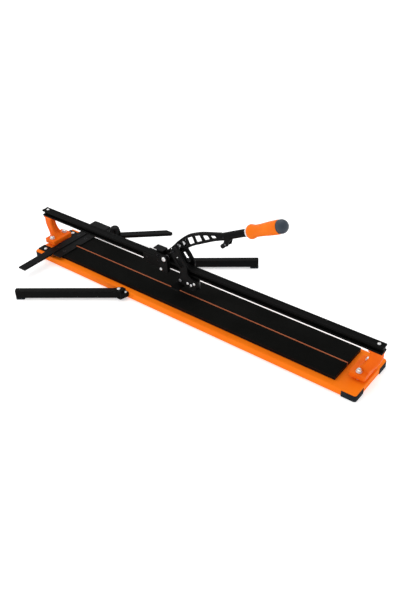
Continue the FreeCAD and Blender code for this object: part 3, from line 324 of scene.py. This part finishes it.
def moulded_plastic(name, color, light, roughness, specular):
    """Moulded plastic: a faint texture, and edges lightened as a painted highlight, partly also as wear."""
    s = Surface(name, color, roughness, specular=specular)
    s.tint(s.noise(40, 4, 0.4, 0.75), light, 0.35)
    # Lighter edges: a painted highlight, partly also wear.
    s.tint(s.edges(0.001), light, 0.6)
    s.gloss(s.noise(90, 4, 0.3, 0.7), roughness + 0.18)
    s.relief(s.noise(1300, 3, 0.2, 0.8), 0.00005)
    return s.finish()


def red_glass(name):
    """Dark red lens with a clear coat."""
    s = Surface(name, (0.55, 0.03, 0.02), 0.06, specular=0.6)
    s.tint(s.noise(800, 3, 0.4, 0.7), (0.25, 0.01, 0.01), 0.6)
    s.shader.inputs["Coat Weight"].default_value = 1.0
    s.gloss(s.noise(900, 3, 0.4, 0.7), 0.16)
    return s.finish()


# Colours are linear. The last numbers are the roughness and, where there is one, the specular level. The
# colour that a material mixes into its edges is partly a painted highlight.
MATERIALS = {
    "orange_paint": powder_coat("orange_paint_skin", (0.94, 0.198, 0.006), (0.86, 0.15, 0.004),
                                (0.95, 0.32, 0.07), 0.42, 0.05),
    "orange_casting": casting("orange_casting_skin", (0.90, 0.155, 0.005), (0.72, 0.088, 0.003),
                              (0.95, 0.34, 0.10), 0.4, 0.08),
    "rubber_feet": moulded_rubber("rubber_feet_skin", (0.009, 0.0125, 0.016), (0.035, 0.042, 0.05)),
    "black_aluminium": anodised("black_aluminium_skin", (0.0026, 0.0026, 0.0026), (0.016, 0.016, 0.0165),
                                (0.06, 0.06, 0.062), 0.36),
    "black_mat": rubber_mat("black_mat_skin", (0.0020, 0.0021, 0.0018), (0.0075, 0.0075, 0.0065)),
    "zinc_bolts": plated_steel("zinc_bolts_skin", (0.80, 0.80, 0.81), (0.72, 0.66, 0.54),
                               (0.6, 0.64, 0.72), 0.24),
    "black_bolts": plated_steel("black_bolts_skin", (0.020, 0.020, 0.023), (0.015, 0.012, 0.010),
                                (0.018, 0.020, 0.028), 0.32),
    "black_steel": powder_coat("black_steel_skin", (0.0026, 0.0027, 0.0026), (0.0014, 0.0014, 0.0015),
                               (0.055, 0.055, 0.056), 0.36, 0.05),
    "black_casting": casting("black_casting_skin", (0.0024, 0.0025, 0.0026), (0.0013, 0.0013, 0.0014),
                             (0.055, 0.055, 0.057), 0.34, 0.06),
    "bright_steel": brushed("bright_steel_skin", (0.74, 0.74, 0.75), (0.45, 0.45, 0.47), 0.22,
                            (2200, 60, 2200)),
    "spring_steel": brushed("spring_steel_skin", (0.15, 0.15, 0.16), (0.08, 0.075, 0.07), 0.32,
                            (900, 2600, 900)),
    "bearing_steel": brushed("bearing_steel_skin", (0.7, 0.7, 0.71), (0.4, 0.4, 0.42), 0.16,
                             (300, 3000, 300)),
    "wheel_carbide": brushed("wheel_carbide_skin", (0.5, 0.5, 0.52), (0.26, 0.26, 0.28), 0.26,
                             (1800, 300, 1800)),
    "breaker_rubber": moulded_rubber("breaker_rubber_skin", (0.006, 0.006, 0.006), (0.025, 0.025, 0.025)),
    "black_plastic": moulded_plastic("black_plastic_skin", (0.0030, 0.0031, 0.0034),
                                     (0.022, 0.022, 0.024), 0.36, 0.08),
    "laser_glass": red_glass("laser_glass_skin"),
    "orange_grip": soft_touch("orange_grip_skin", (0.88, 0.180, 0.008), (0.78, 0.135, 0.006),
                              (0.95, 0.25, 0.02), 0.46),
    "grey_cap": moulded_plastic("grey_cap_skin", (0.026, 0.038, 0.054), (0.06, 0.08, 0.105), 0.28, 0.3),
}
RAIL_SKIN = anodised("rail_skin", (0.0014, 0.0015, 0.0014), (0.0055, 0.0055, 0.0055),
                     (0.05, 0.05, 0.052), 0.5)
DULL_PIN = plated_steel("dull_pin_skin", (0.20, 0.20, 0.21), (0.15, 0.14, 0.12), (0.16, 0.17, 0.19), 0.36)
# A darker, duller orange paint for the ridge between the tables.
DARKENED_RIDGE = powder_coat("darkened_ridge_skin", (0.50, 0.145, 0.062), (0.36, 0.085, 0.035),
                         (0.62, 0.30, 0.20), 0.4, 0.1)


# ---------------------------------------------------------------- mesh helpers
def stand_in(name, mesh, node):
    """Puts a mesh in the scene as a piece that rides on a CAD node's body and stands for the node."""
    mesh.materials.clear()
    mesh.materials.append(MATERIALS[SLOT_OF[node]])
    piece = bpy.data.objects.new(name, mesh)
    bpy.context.scene.collection.objects.link(piece)
    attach(piece, BODY_OF[node])
    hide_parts(node)
    return piece


def clean_copy(node):
    """The node's shape as a welded bmesh, with its flat faces made whole."""
    bm = bmesh.new()
    bm.from_mesh(frame["nodes"][node].data)
    for layer in list(bm.loops.layers.float_vector.values()):
        bm.loops.layers.float_vector.remove(layer)
    bmesh.ops.remove_doubles(bm, verts=bm.verts, dist=WELD)
    bmesh.ops.dissolve_degenerate(bm, dist=WELD, edges=bm.edges)
    bmesh.ops.dissolve_limit(bm, angle_limit=FLAT_ANGLE, verts=bm.verts, edges=bm.edges)
    return bm


def to_mesh(bm, name):
    """The bmesh as a mesh, shaded smooth apart from its sharp edges."""
    bmesh.ops.recalc_face_normals(bm, faces=bm.faces)
    mesh = bpy.data.meshes.new(name)
    bm.to_mesh(mesh)
    bm.free()
    for attribute in [a.name for a in mesh.attributes if a.name == "custom_normal"]:
        mesh.attributes.remove(mesh.attributes[attribute])
    mesh.shade_smooth()
    mesh.set_sharp_from_angle(angle=SMOOTH_ANGLE)
    return mesh


def evaluated(data):
    """The mesh that an object with this data gives once its modifiers and bevels are applied."""
    graph = bpy.context.evaluated_depsgraph_get()
    return bpy.data.meshes.new_from_object(data.evaluated_get(graph), depsgraph=graph)


def through_modifiers(mesh, *modifiers):
    """Runs a mesh through modifiers, each (kind, settings), and gives the result as a new mesh."""
    carrier = bpy.data.objects.new("carrier", mesh)
    bpy.context.scene.collection.objects.link(carrier)
    for kind, settings in modifiers:
        modifier = carrier.modifiers.new(kind.lower(), kind)
        for key, value in settings.items():
            setattr(modifier, key, value)
    made = evaluated(carrier)
    bpy.data.objects.remove(carrier)
    return made


def bevelled(node, width, segments=2):
    """The node with its edges broken, as a folded, machined or sawn piece has them."""
    edge = {"width": width, "segments": segments, "limit_method": "ANGLE", "use_clamp_overlap": True,
            "angle_limit": BEVEL_ANGLE, "miter_outer": "MITER_ARC"}
    flat_faces = {"keep_sharp": True, "weight": 90}
    mesh = to_mesh(clean_copy(node), node + "_mesh")
    mesh = through_modifiers(mesh, ("BEVEL", edge), ("WEIGHTED_NORMAL", flat_faces))
    return stand_in(node + "_part", mesh, node)


def cast(node, voxel, smooth, prepare=None, shrink=0.0):
    """The node as a casting or moulding: corners run together in small fillets, skin drawn in."""
    bm = clean_copy(node)
    if prepare:
        prepare(bm)
    steps = [("REMESH", {"mode": "VOXEL", "voxel_size": voxel, "adaptivity": 0.0}),
             ("SMOOTH", {"factor": 0.5, "iterations": smooth})]
    if shrink:
        steps.append(("DISPLACE", {"strength": -shrink, "mid_level": 0.0}))
    mesh = through_modifiers(to_mesh(bm, node + "_mesh"), *steps)
    mesh.shade_smooth()
    return stand_in(node + "_cast", mesh, node)


def corner(node, which):
    """The node's lowest corner for 0, its highest for 1."""
    return Vector(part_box(node)[which])


def middle(node):
    """The middle of the node's box."""
    return (corner(node, 0) + corner(node, 1)) / 2


def solids(node):
    """The lowest and highest corners of each separate solid of a node, in order of place."""
    bm = clean_copy(node)
    left = set(bm.verts)
    boxes = []
    while left:
        queue = [left.pop()]
        found = []
        while queue:
            vert = queue.pop()
            found.append(vert.co.copy())
            for other in [edge.other_vert(vert) for edge in vert.link_edges]:
                if other in left:
                    left.remove(other)
                    queue.append(other)
        low = Vector([min(co[i] for co in found) for i in range(3)])
        high = Vector([max(co[i] for co in found) for i in range(3)])
        boxes.append((low, high))
    bm.free()
    return sorted(boxes, key=lambda box: [round(value, 5) for value in box[0]])


# ---------------------------------------------------------------- turned parts
ROUND = 0                # sides of a ring: a circle
HEX = 6                  # sides of a ring: a hexagon
TURN_SEGMENTS = 48
FINE_SEGMENTS = 96
TAPPING = 1.9 * MM       # shank radii from here
M4 = 2.0 * MM
M5 = 2.5 * MM
M6 = 3.0 * MM
M8 = 4.0 * MM
M10 = 5.0 * MM
M6_HEAD = 5.0 * MM       # radius of a button head
CHAMFER = 0.2 * MM


def seat(origin, direction):
    """A frame with its origin at a point and its Z axis along a direction."""
    return Matrix.Translation(origin) @ Vector(direction).to_track_quat("Z", "Y").to_matrix().to_4x4()


def ring_radius(radius, angle, sides):
    """Distance from the axis at an angle: a circle, or a polygon with its flats at the radius."""
    if sides == ROUND:
        return radius
    half = math.pi / sides
    return radius / math.cos((angle + half) % (2 * half) - half)


def ring(bm, place, height, radius, sides, segments):
    """The vertices of one ring, or a single one on the axis."""
    if radius == 0.0:
        return [bm.verts.new(place @ Vector((0.0, 0.0, height)))]
    verts = []
    for step in range(segments):
        angle = 2 * math.pi * step / segments
        reach = ring_radius(radius, angle, sides)
        point = Vector((reach * math.cos(angle), reach * math.sin(angle), height))
        verts.append(bm.verts.new(place @ point))
    return verts


def lathe(bm, place, profile, hollow, segments):
    """Turns a profile of (height, radius, sides) about Z. A hollow one joins its last ring to its first."""
    rings = [ring(bm, place, *station, segments) for station in profile]
    pairs = list(zip(rings, rings[1:]))
    if hollow:
        pairs.append((rings[-1], rings[0]))
    for low, high in pairs:
        for step in range(segments):
            after = (step + 1) % segments
            corners = ((low, step), (low, after), (high, after), (high, step))
            around = [band[index % len(band)] for band, index in corners]
            bm.faces.new(dict.fromkeys(around))


def turned_piece(name, node, *parts, segments=TURN_SEGMENTS):
    """One piece for a node, from parts of (place, profile, hollow)."""
    bm = bmesh.new()
    for place, profile, hollow in parts:
        lathe(bm, place, profile, hollow, segments)
    return stand_in(name, to_mesh(bm, name + "_mesh"), node)


def rounds(*stations):
    """Round rings from pairs of height and radius."""
    return [(height, radius, ROUND) for height, radius in stations]


def socket_rings(top, flats_at, depth):
    """A chamfered hexagon socket sunk from a top plane."""
    return [(top, 1.22 * flats_at, ROUND), (top - 0.1 * depth, flats_at, HEX), (top - depth, flats_at, HEX),
            (top - 1.05 * depth, 0.0, ROUND)]


def button_head(radius, height):
    """Rings of a domed socket head, from its seat outwards."""
    dome = ((0.0, 0.95), (0.08, 1.0), (0.28, 0.985), (0.55, 0.89), (0.8, 0.72), (0.95, 0.56))
    skin = rounds(*[(height * up, radius * out) for up, out in dome])
    return skin + socket_rings(height, 0.4 * radius, 0.6 * height)


def hex_head(flats_at, height, crown):
    """Rings of a hexagon head with chamfered corners and a crowned top."""
    return [(0.0, 0.97 * flats_at, ROUND), (0.08 * height, flats_at, HEX), (0.84 * height, flats_at, HEX),
            (height, 0.95 * flats_at, ROUND), (height + 0.6 * crown, 0.72 * flats_at, ROUND),
            (height + crown, 0.3 * flats_at, ROUND), (height + crown, 0.0, ROUND)]


def nut_tail(flats_at, height, shank, proud):
    """Rings of a nut and the thread's end, from the nut's seat outwards."""
    return [(0.0, 0.97 * flats_at, ROUND), (0.1 * height, flats_at, HEX), (0.88 * height, flats_at, HEX),
            (height, 0.94 * flats_at, ROUND), (height, shank, ROUND), (height + 0.6 * proud, shank, ROUND),
            (height + proud, 0.82 * shank, ROUND), (height + proud, 0.0, ROUND)]


def plain_tail(shank):
    """Rings of a shank's chamfered end."""
    return rounds((0.0, shank), (0.35 * shank, 0.72 * shank), (0.35 * shank, 0.0))


def bolt_rings(length, shank, head, tail):
    """A whole bolt in one skin. Height 0 is under the head, and the tail starts a length below it."""
    below = [(-length - up, radius, sides) for up, radius, sides in reversed(tail)]
    return below + rounds((-length, shank), (0.0, shank)) + head


def through_bolts(node, reach, shank, head_r):
    """Bolts along Y through a pair of faces at a distance either side of the middle plane."""
    parts = []
    for low, high in solids(node):
        centre = (low + high) / 2
        head_h = -reach - low.y
        if high.y > reach:
            length = 2 * reach
            tail = nut_tail(0.875 * head_r, head_h, shank, max(high.y - reach - head_h, 0.5 * MM))
        else:
            length = high.y + reach - 0.35 * shank
            tail = plain_tail(shank)
        rings = bolt_rings(length, shank, button_head(head_r, head_h), tail)
        parts.append((seat((centre.x, -reach, centre.z), -Y_AXIS), rings, False))
    return turned_piece(node + "_set", node, *parts)


def button_bolts(node, shank, head_r, head_h, head_side):
    """Bolts with a domed socket head at one end, along the side's direction."""
    parts = []
    for low, high in solids(node):
        centre = (low + high) / 2
        side = head_side(centre)
        half = (high - low).dot(Vector([abs(value) for value in side])) / 2
        top = centre + side * (half - head_h)
        length = 2 * half - head_h - 0.35 * shank
        rings = bolt_rings(length, shank, button_head(head_r, head_h), plain_tail(shank))
        parts.append((seat(top, side), rings, False))
    return turned_piece(node + "_set", node, *parts)


def upwards(centre):
    """The head's side of a bolt put in from above."""
    return Z_AXIS


def inwards(centre):
    """The head's side of a screw put in from inside the tray."""
    return Y_AXIS if centre.y < 0 else -Y_AXIS


def outwards(centre):
    """The head's side of a bolt put in from outside."""
    return Y_AXIS if centre.y > 0 else -Y_AXIS


# ---------------------------------------------------------------- base
SUPPORT_HEAD = 6.5 * MM
SUPPORT_CROWN = 2.0 * MM
SUPPORT_FLATS = 7.5 * MM
SUPPORT_NUT = 7.0 * MM
SUPPORT_PROUD = 1.0 * MM
WASHER_LIMIT = 3.0 * MM
WASHER_SLACK = 0.3 * MM
WASHER_EDGE = 0.25 * MM
END_SCREW_R = 6.5 * MM
END_SCREW_H = 4.0 * MM


def build_support_bolts():
    """Hexagon bolts through the supports and tray, each with its washer and nut."""
    parts = []
    for low, high in solids("support_bolts"):
        centre = (low + high) / 2
        tall = high.z - low.z
        radius = (high.x - low.x) / 2
        if tall < WASHER_LIMIT:
            bore = M10 + WASHER_SLACK
            rim = radius - WASHER_EDGE
            rings = rounds((0.0, bore), (0.0, rim), (WASHER_EDGE, radius), (tall - WASHER_EDGE, radius),
                           (tall, rim), (tall, bore))
            parts.append((seat((centre.x, centre.y, low.z), Z_AXIS), rings, True))
            continue
        head_seat = high.z - SUPPORT_HEAD - SUPPORT_CROWN
        length = head_seat - low.z - SUPPORT_NUT - SUPPORT_PROUD
        rings = bolt_rings(length, M10, hex_head(SUPPORT_FLATS, SUPPORT_HEAD, SUPPORT_CROWN),
                           nut_tail(SUPPORT_FLATS, SUPPORT_NUT, M10, SUPPORT_PROUD))
        parts.append((seat((centre.x, centre.y, head_seat), Z_AXIS), rings, False))
    turned_piece("support_bolt_set", "support_bolts", *parts)


def build_fence_screws():
    """Countersunk socket screws, flush with the fence plate."""
    parts = []
    for low, high in solids("fence_screws"):
        centre = (low + high) / 2
        radius = (high.x - low.x) / 2
        sink = 0.5 * radius
        shank = 0.5 * radius
        rim = rounds((sink - CHAMFER, radius), (sink, radius - CHAMFER))
        head = rim + socket_rings(sink, 0.4 * radius, sink)
        rings = bolt_rings(high.z - low.z - sink - 0.35 * shank, shank, head, plain_tail(shank))
        parts.append((seat((centre.x, centre.y, high.z - sink), Z_AXIS), rings, False))
    turned_piece("fence_screw_set", "fence_screws", *parts)


def build_end_plate_screws():
    """Domed socket screws in the end plates, of which only the heads show."""
    parts = []
    for low, high in solids("end_plate_screws"):
        centre = (low + high) / 2
        rings = rounds((0.0, 0.0)) + button_head(END_SCREW_R, END_SCREW_H)
        parts.append((seat((centre.x, centre.y, low.z), Z_AXIS), rings, False))
    turned_piece("end_plate_screw_set", "end_plate_screws", *parts)


def build_base():
    """The tray keeps its CAD shape; the pieces on it get broken or filleted edges and real fasteners."""
    for node in ("table_front", "table_rear", "fence_plate", "end_plates", "fence_bar"):
        bevelled(node, 0.6 * MM)
    bevelled("table_mat_front", 0.4 * MM)
    bevelled("table_mat_rear", 0.4 * MM)
    bevelled("rail", 0.5 * MM).data.materials[0] = RAIL_SKIN
    bevelled("breaking_bar", 0.3 * MM).data.materials[0] = DARKENED_RIDGE
    cast("corner_feet", 0.7 * MM, 3)
    for place in ("near_operator", "far_end"):
        cast("rail_support_" + place, 1.0 * MM, 4)
    for place in ("front", "rear"):
        cast("arm_bracket_" + place, 0.6 * MM, 2)
    build_support_bolts()
    build_fence_screws()
    button_bolts("rail_bolts", M8, 5.5 * MM, 4.0 * MM, upwards)
    button_bolts("arm_pivot_bolts", M10, 6.5 * MM, 4.0 * MM, upwards)
    button_bolts("bracket_top_bolts", M6, M6_HEAD, 3.0 * MM, upwards)
    button_bolts("bracket_screws", TAPPING, 5.0 * MM, 2.5 * MM, inwards)
    build_end_plate_screws()


# ---------------------------------------------------------------- stop, rule and arms
def build_stop():
    """The side stop on the fence bar, with its swinging rule and knob."""
    cast("side_stop", 0.7 * MM, 3)
    bevelled("swing_rule", 0.6 * MM)
    cast("rule_knob", 0.5 * MM, 3)


def build_arms():
    """The two support arms and their rubber feet."""
    for place in ("front", "rear"):
        bevelled("support_arm_" + place, 0.8 * MM)
        cast("arm_foot_" + place, 0.6 * MM, 3)


# ---------------------------------------------------------------- carriage
BLOCK_OUTER = 26.0 * MM      # from the middle plane to the faces that heads and nuts sit on
PLATE_OUTER = 18.0 * MM
BEARING_SHIELD = 0.35 * MM
SPRING_R = 7.6 * MM
SPRING_WIRE = 1.1 * MM
SPRING_TURNS = 2.75
SPRING_LEG = 10.0 * MM
SPRING_TAIL = 7.0 * MM
SPRING_START = 8.3 * MM
SPRING_END = 12.7 * MM
SPRING_STEPS = 96


def spring_points(side):
    """One torsion spring round the pivot bolt: a leg, the coil and a second leg."""
    centre = middle("pivot_bolt")
    points = [centre + Vector((-SPRING_LEG, side * SPRING_START, -SPRING_R))]
    for step in range(SPRING_STEPS + 1):
        part = step / SPRING_STEPS
        angle = 2 * math.pi * (SPRING_TURNS * part) - math.pi / 2
        along = side * (SPRING_START + (SPRING_END - SPRING_START) * part)
        points.append(centre + Vector((SPRING_R * math.cos(angle), along, SPRING_R * math.sin(angle))))
    tail = (points[-1] - points[-2]).normalized() * SPRING_TAIL
    tail.y = 0.0
    points.append(points[-1] + tail)
    return points


def build_springs():
    """Both torsion springs, as round wire swept along their points."""
    curve = bpy.data.curves.new("spring_wire", "CURVE")
    curve.dimensions = "3D"
    curve.bevel_depth = SPRING_WIRE
    curve.bevel_resolution = 3
    curve.use_fill_caps = True
    for side in (-1, 1):
        points = spring_points(side)
        spline = curve.splines.new("POLY")
        spline.points.add(len(points) - 1)
        for point, place in zip(spline.points, points):
            point.co = (*place, 1.0)
    carrier = bpy.data.objects.new("spring_carrier", curve)
    bpy.context.scene.collection.objects.link(carrier)
    mesh = evaluated(carrier)
    bpy.data.objects.remove(carrier)
    mesh.shade_smooth()
    stand_in("return_spring_coils", mesh, "return_springs")


def build_rollers():
    """Ball-bearing rollers: an outer race with a shield sunk in each face."""
    for node in ("roller_front_far", "roller_rear_far", "roller_front_near", "roller_rear_near"):
        low, high = corner(node, 0), corner(node, 1)
        radius = (high.z - low.z) / 2
        tall = high.y - low.y
        one_side = [(0.0, 0.48), (0.0, 0.6), (BEARING_SHIELD, 0.62), (BEARING_SHIELD, 0.82), (0.0, 0.84),
                    (0.0, 0.95), (0.05 * radius, 1.0)]
        up = [(height, radius * out) for height, out in one_side]
        down = [(tall - height, radius * out) for height, out in reversed(one_side)]
        place = seat((middle(node).x, low.y, middle(node).z), Y_AXIS)
        turned_piece(node + "_bearing", node, (place, rounds(*up, *down), True))


def build_carriage():
    """Side plates and blocks, the bridge over the rail, bolts, springs and rollers."""
    for place in ("front", "rear"):
        bevelled("carriage_plate_" + place, 0.5 * MM)
        bevelled("carriage_block_" + place, 0.8 * MM, 3)
    bevelled("carriage_bridge", 0.6 * MM, 3)
    through_bolts("pivot_bolt", BLOCK_OUTER, M10, 8.5 * MM)
    through_bolts("tie_bolt", BLOCK_OUTER, M6, 5.5 * MM)
    through_bolts("bridge_screw", PLATE_OUTER, M6, M6_HEAD)
    button_bolts("roller_pins", M5, 4.0 * MM, 2.0 * MM, outwards)
    build_springs()
    build_rollers()


# ---------------------------------------------------------------- lever
LEG_OUTER = 23.5 * MM        # from the middle plane to the legs' outer faces
WEB_HALF = 5.0 * MM          # from the middle plane to the arm's flat sides
TUBE_SEAT = 12.0 * MM
CLIP_SEAT = 9.7 * MM
WHEEL_BORE = 2.6 * MM
RIB_DEPTH = 1.6 * MM
ARM_SHRINK = 0.4 * MM
GRIP_TILT = math.radians(26.5)
GRIP_LINE = Vector((math.cos(GRIP_TILT), 0.0, math.sin(GRIP_TILT)))
FERRULE_HALF = 4.0 * MM
DOME_STEPS = 24
GRIP_LENGTH = 114.0
CAP_LENGTH = 28.0
# Heights and radii in mm, from the ferrule to the cap, then from the cap's seat to its dome.
GRIP_PROFILE = ((0.0, 12.1), (0.0, 15.8), (0.8, 16.8), (3.5, 20.0), (6.0, 21.6), (9.0, 22.2),
                (12.0, 22.2), (15.0, 21.7), (19.0, 20.4), (24.0, 19.0), (30.0, 18.2), (38.0, 18.1),
                (46.0, 18.4), (56.0, 18.9), (66.0, 19.6), (76.0, 20.3), (86.0, 20.8), (96.0, 21.15),
                (106.0, 21.3), (112.6, 21.2), (113.6, 20.6), (114.0, 19.8), (114.0, 12.1))
CAP_PROFILE = ((0.0, 0.0), (0.0, 19.6), (0.6, 20.3), (2.4, 20.7), (3.2, 20.3), (4.0, 20.7), (8.0, 20.8))
FERRULE_PROFILE = ((0.0, 12.1), (0.0, 13.2), (0.5, 13.9), (1.4, 14.2), (2.2, 13.8), (2.8, 13.5),
                   (6.6, 13.5), (7.2, 13.9), (8.0, 14.0), (8.0, 12.1))


def sink_sides(level, depth, border):
    """Sinks a casting's flat sides inside a raised border round its outline, windows and bores."""
    def prepare(bm):
        for side in (-1, 1):
            bm.normal_update()
            faces = [face for face in bm.faces if side * face.normal.y > 0.999
                     and abs(side * face.calc_center_median().y - level) < 10 * WELD]
            if not faces:
                continue
            bmesh.ops.inset_region(bm, faces=faces, thickness=border, use_boundary=True,
                                   use_even_offset=False)
            for vert in {vert for face in faces for vert in face.verts}:
                vert.co.y -= side * depth
    return prepare


def in_metres(profile):
    """Round rings from a profile in millimetres."""
    return rounds(*[(height * MM, radius * MM) for height, radius in profile])


def build_grip():
    """Soft grip with its collar, waist and swelling end, and the domed cap that closes it."""
    place = seat(middle("ferrule") + GRIP_LINE * FERRULE_HALF, GRIP_LINE)
    turned_piece("grip_moulding", "grip", (place, in_metres(GRIP_PROFILE), True), segments=FINE_SEGMENTS)
    cap_place = place @ Matrix.Translation((0.0, 0.0, GRIP_LENGTH * MM))
    dome_r = CAP_PROFILE[-1][1]
    knee = CAP_LENGTH - dome_r
    dome = []
    for step in range(1, DOME_STEPS):
        angle = math.pi / 2 * step / DOME_STEPS
        dome.append((knee + dome_r * math.sin(angle), dome_r * math.cos(angle)))
    dome.append((CAP_LENGTH, 0.0))
    rings = in_metres((*CAP_PROFILE, *dome))
    turned_piece("grip_end_cap", "grip_cap", (cap_place, rings, False), segments=FINE_SEGMENTS)


def build_ferrule():
    """Steel ring with a rolled edge where the tube enters the grip."""
    place = seat(middle("ferrule") - GRIP_LINE * FERRULE_HALF, GRIP_LINE)
    turned_piece("ferrule_ring", "ferrule", (place, in_metres(FERRULE_PROFILE), True))


def build_wheel():
    """Scoring wheel: a flat hub ring and a sharp double bevel."""
    low, high = corner("cutting_wheel", 0), corner("cutting_wheel", 1)
    radius = (high.z - low.z) / 2
    half = (high.y - low.y) / 2
    one_side = ((-half, WHEEL_BORE), (-half, 0.42 * radius), (-0.72 * half, 0.46 * radius),
                (-0.72 * half, 0.78 * radius))
    rings = rounds(*one_side, (0.0, radius), *[(-height, out) for height, out in reversed(one_side)])
    place = seat(middle("cutting_wheel"), Y_AXIS)
    turned_piece("scoring_wheel", "cutting_wheel", (place, rings, True), segments=FINE_SEGMENTS)


def build_lever():
    """The cast arm and fork with what hangs on them, the tube, the pointer and the grip."""
    cast("handle_arm", 0.8 * MM, 2, sink_sides(WEB_HALF, RIB_DEPTH, 2.2 * MM), ARM_SHRINK)
    for place in ("front", "rear"):
        cast("fork_leg_" + place, 0.5 * MM, 2, sink_sides(LEG_OUTER, RIB_DEPTH, 2.4 * MM))
    bevelled("wheel_holder", 0.8 * MM, 3)
    bevelled("breaker_foot", 0.7 * MM, 3)
    bevelled("breaker_pads", 0.4 * MM)
    bevelled("leg_spacers", 0.3 * MM)
    bevelled("wheel_axle", 0.3 * MM)
    bevelled("handle_tube", 0.4 * MM)
    bevelled("laser_bracket", 0.4 * MM)
    bevelled("laser_barrel", 0.6 * MM)
    through_bolts("leg_bolts", LEG_OUTER, M6, M6_HEAD)
    through_bolts("fork_bolts", LEG_OUTER, M6, M6_HEAD)
    through_bolts("breaker_pin", LEG_OUTER, M8, 6.0 * MM).data.materials[0] = DULL_PIN
    through_bolts("tube_screw", TUBE_SEAT, M4, 4.0 * MM)
    through_bolts("laser_screw", CLIP_SEAT, M4, 3.4 * MM).data.materials[0] = DULL_PIN
    build_grip()
    build_ferrule()
    build_wheel()


# ---------------------------------------------------------------- studio
CAMERA_PLACE = (1.24268, -1.45246, 1.39819)
CAMERA_AZIMUTH = math.radians(39.50)
CAMERA_ELEVATION = math.radians(35.92)
CAMERA_ROLL = math.radians(-2.43)
LENS_PER_HEIGHT = 1.1646672      # focal length over the image's height
SENSOR = 36.0
FLOOR_GLOW = 0.42
FLOOR_SIZE = 9.0
WORLD_STRENGTH = 0.88
WHITE = (1.0, 1.0, 1.0, 1.0)


def build_camera():
    """The photo's view: place, direction and roll, with the lens set against the image's height."""
    camera = bpy.data.objects.new("camera", bpy.data.cameras.new("camera"))
    bpy.context.scene.collection.objects.link(camera)
    bpy.context.scene.camera = camera
    camera.data.sensor_width = SENSOR
    camera.data.lens = LENS_PER_HEIGHT * SENSOR
    camera.data.clip_start = 0.02
    camera.data.clip_end = 40.0
    az, el = CAMERA_AZIMUTH, CAMERA_ELEVATION
    back = Vector((math.sin(az) * math.cos(el), -math.cos(az) * math.cos(el), math.sin(el)))
    right = Vector((math.cos(az), math.sin(az), 0.0))
    up = back.cross(right)
    c, s = math.cos(CAMERA_ROLL), math.sin(CAMERA_ROLL)
    right, up = c * right + s * up, c * up - s * right
    axes = Matrix((right, up, back)).transposed().to_4x4()
    camera.matrix_world = Matrix.Translation(CAMERA_PLACE) @ axes


def area_light(name, place, target, size, power):
    """A softbox aimed at a target."""
    light = bpy.data.lights.new(name, "AREA")
    light.shape = "RECTANGLE"
    light.size, light.size_y = size
    light.energy = power
    lamp = bpy.data.objects.new(name, light)
    bpy.context.scene.collection.objects.link(lamp)
    aim = Vector(place) - Vector(target)
    lamp.matrix_world = Matrix.Translation(place) @ aim.to_track_quat("Z", "Y").to_matrix().to_4x4()


def floor_material():
    """Matt white floor with a slight glow, so that it shows as plain white."""
    s = Surface("studio_floor", (0.82, 0.82, 0.82), 0.8, specular=0.03)
    s.tint(s.noise(2.0, 3, 0.4, 0.8), (0.80, 0.80, 0.80), 0.5)
    s.shader.inputs["Emission Color"].default_value = WHITE
    s.shader.inputs["Emission Strength"].default_value = FLOOR_GLOW
    s.relief(s.noise(300, 2, 0.2, 0.8), 0.00002)
    return s.finish()


def build_studio():
    """White floor, white surroundings and two softboxes."""
    bm = bmesh.new()
    bmesh.ops.create_grid(bm, x_segments=8, y_segments=8, size=FLOOR_SIZE)
    mesh = to_mesh(bm, "floor_mesh")
    mesh.materials.append(floor_material())
    floor = bpy.data.objects.new("studio_floor", mesh)
    floor.location.z = CAD_BOX[0][2]
    bpy.context.scene.collection.objects.link(floor)
    world = bpy.data.worlds.new("studio")
    world.use_nodes = True
    background = world.node_tree.nodes["Background"]
    background.inputs["Color"].default_value = WHITE
    background.inputs["Strength"].default_value = WORLD_STRENGTH
    bpy.context.scene.world = world
    area_light("top_softbox", (-0.5, 0.4, 2.6), (0.0, 0.0, 0.0), (3.2, 2.4), 22.0)
    area_light("left_softbox", (-2.6, -2.0, 1.9), (0.0, 0.0, 0.1), (1.8, 1.4), 12.0)
    bpy.context.scene.view_settings.view_transform = "Standard"


def finish_kept_nodes():
    """Gives every CAD node that still shows its detailed material."""
    for name, node in frame["nodes"].items():
        if node.hide_render:
            continue
        for slot in node.material_slots:
            slot.material = MATERIALS[SLOT_OF[name]]


build_camera()
build_base()
build_stop()
build_arms()
build_carriage()
build_lever()
finish_kept_nodes()
build_studio()
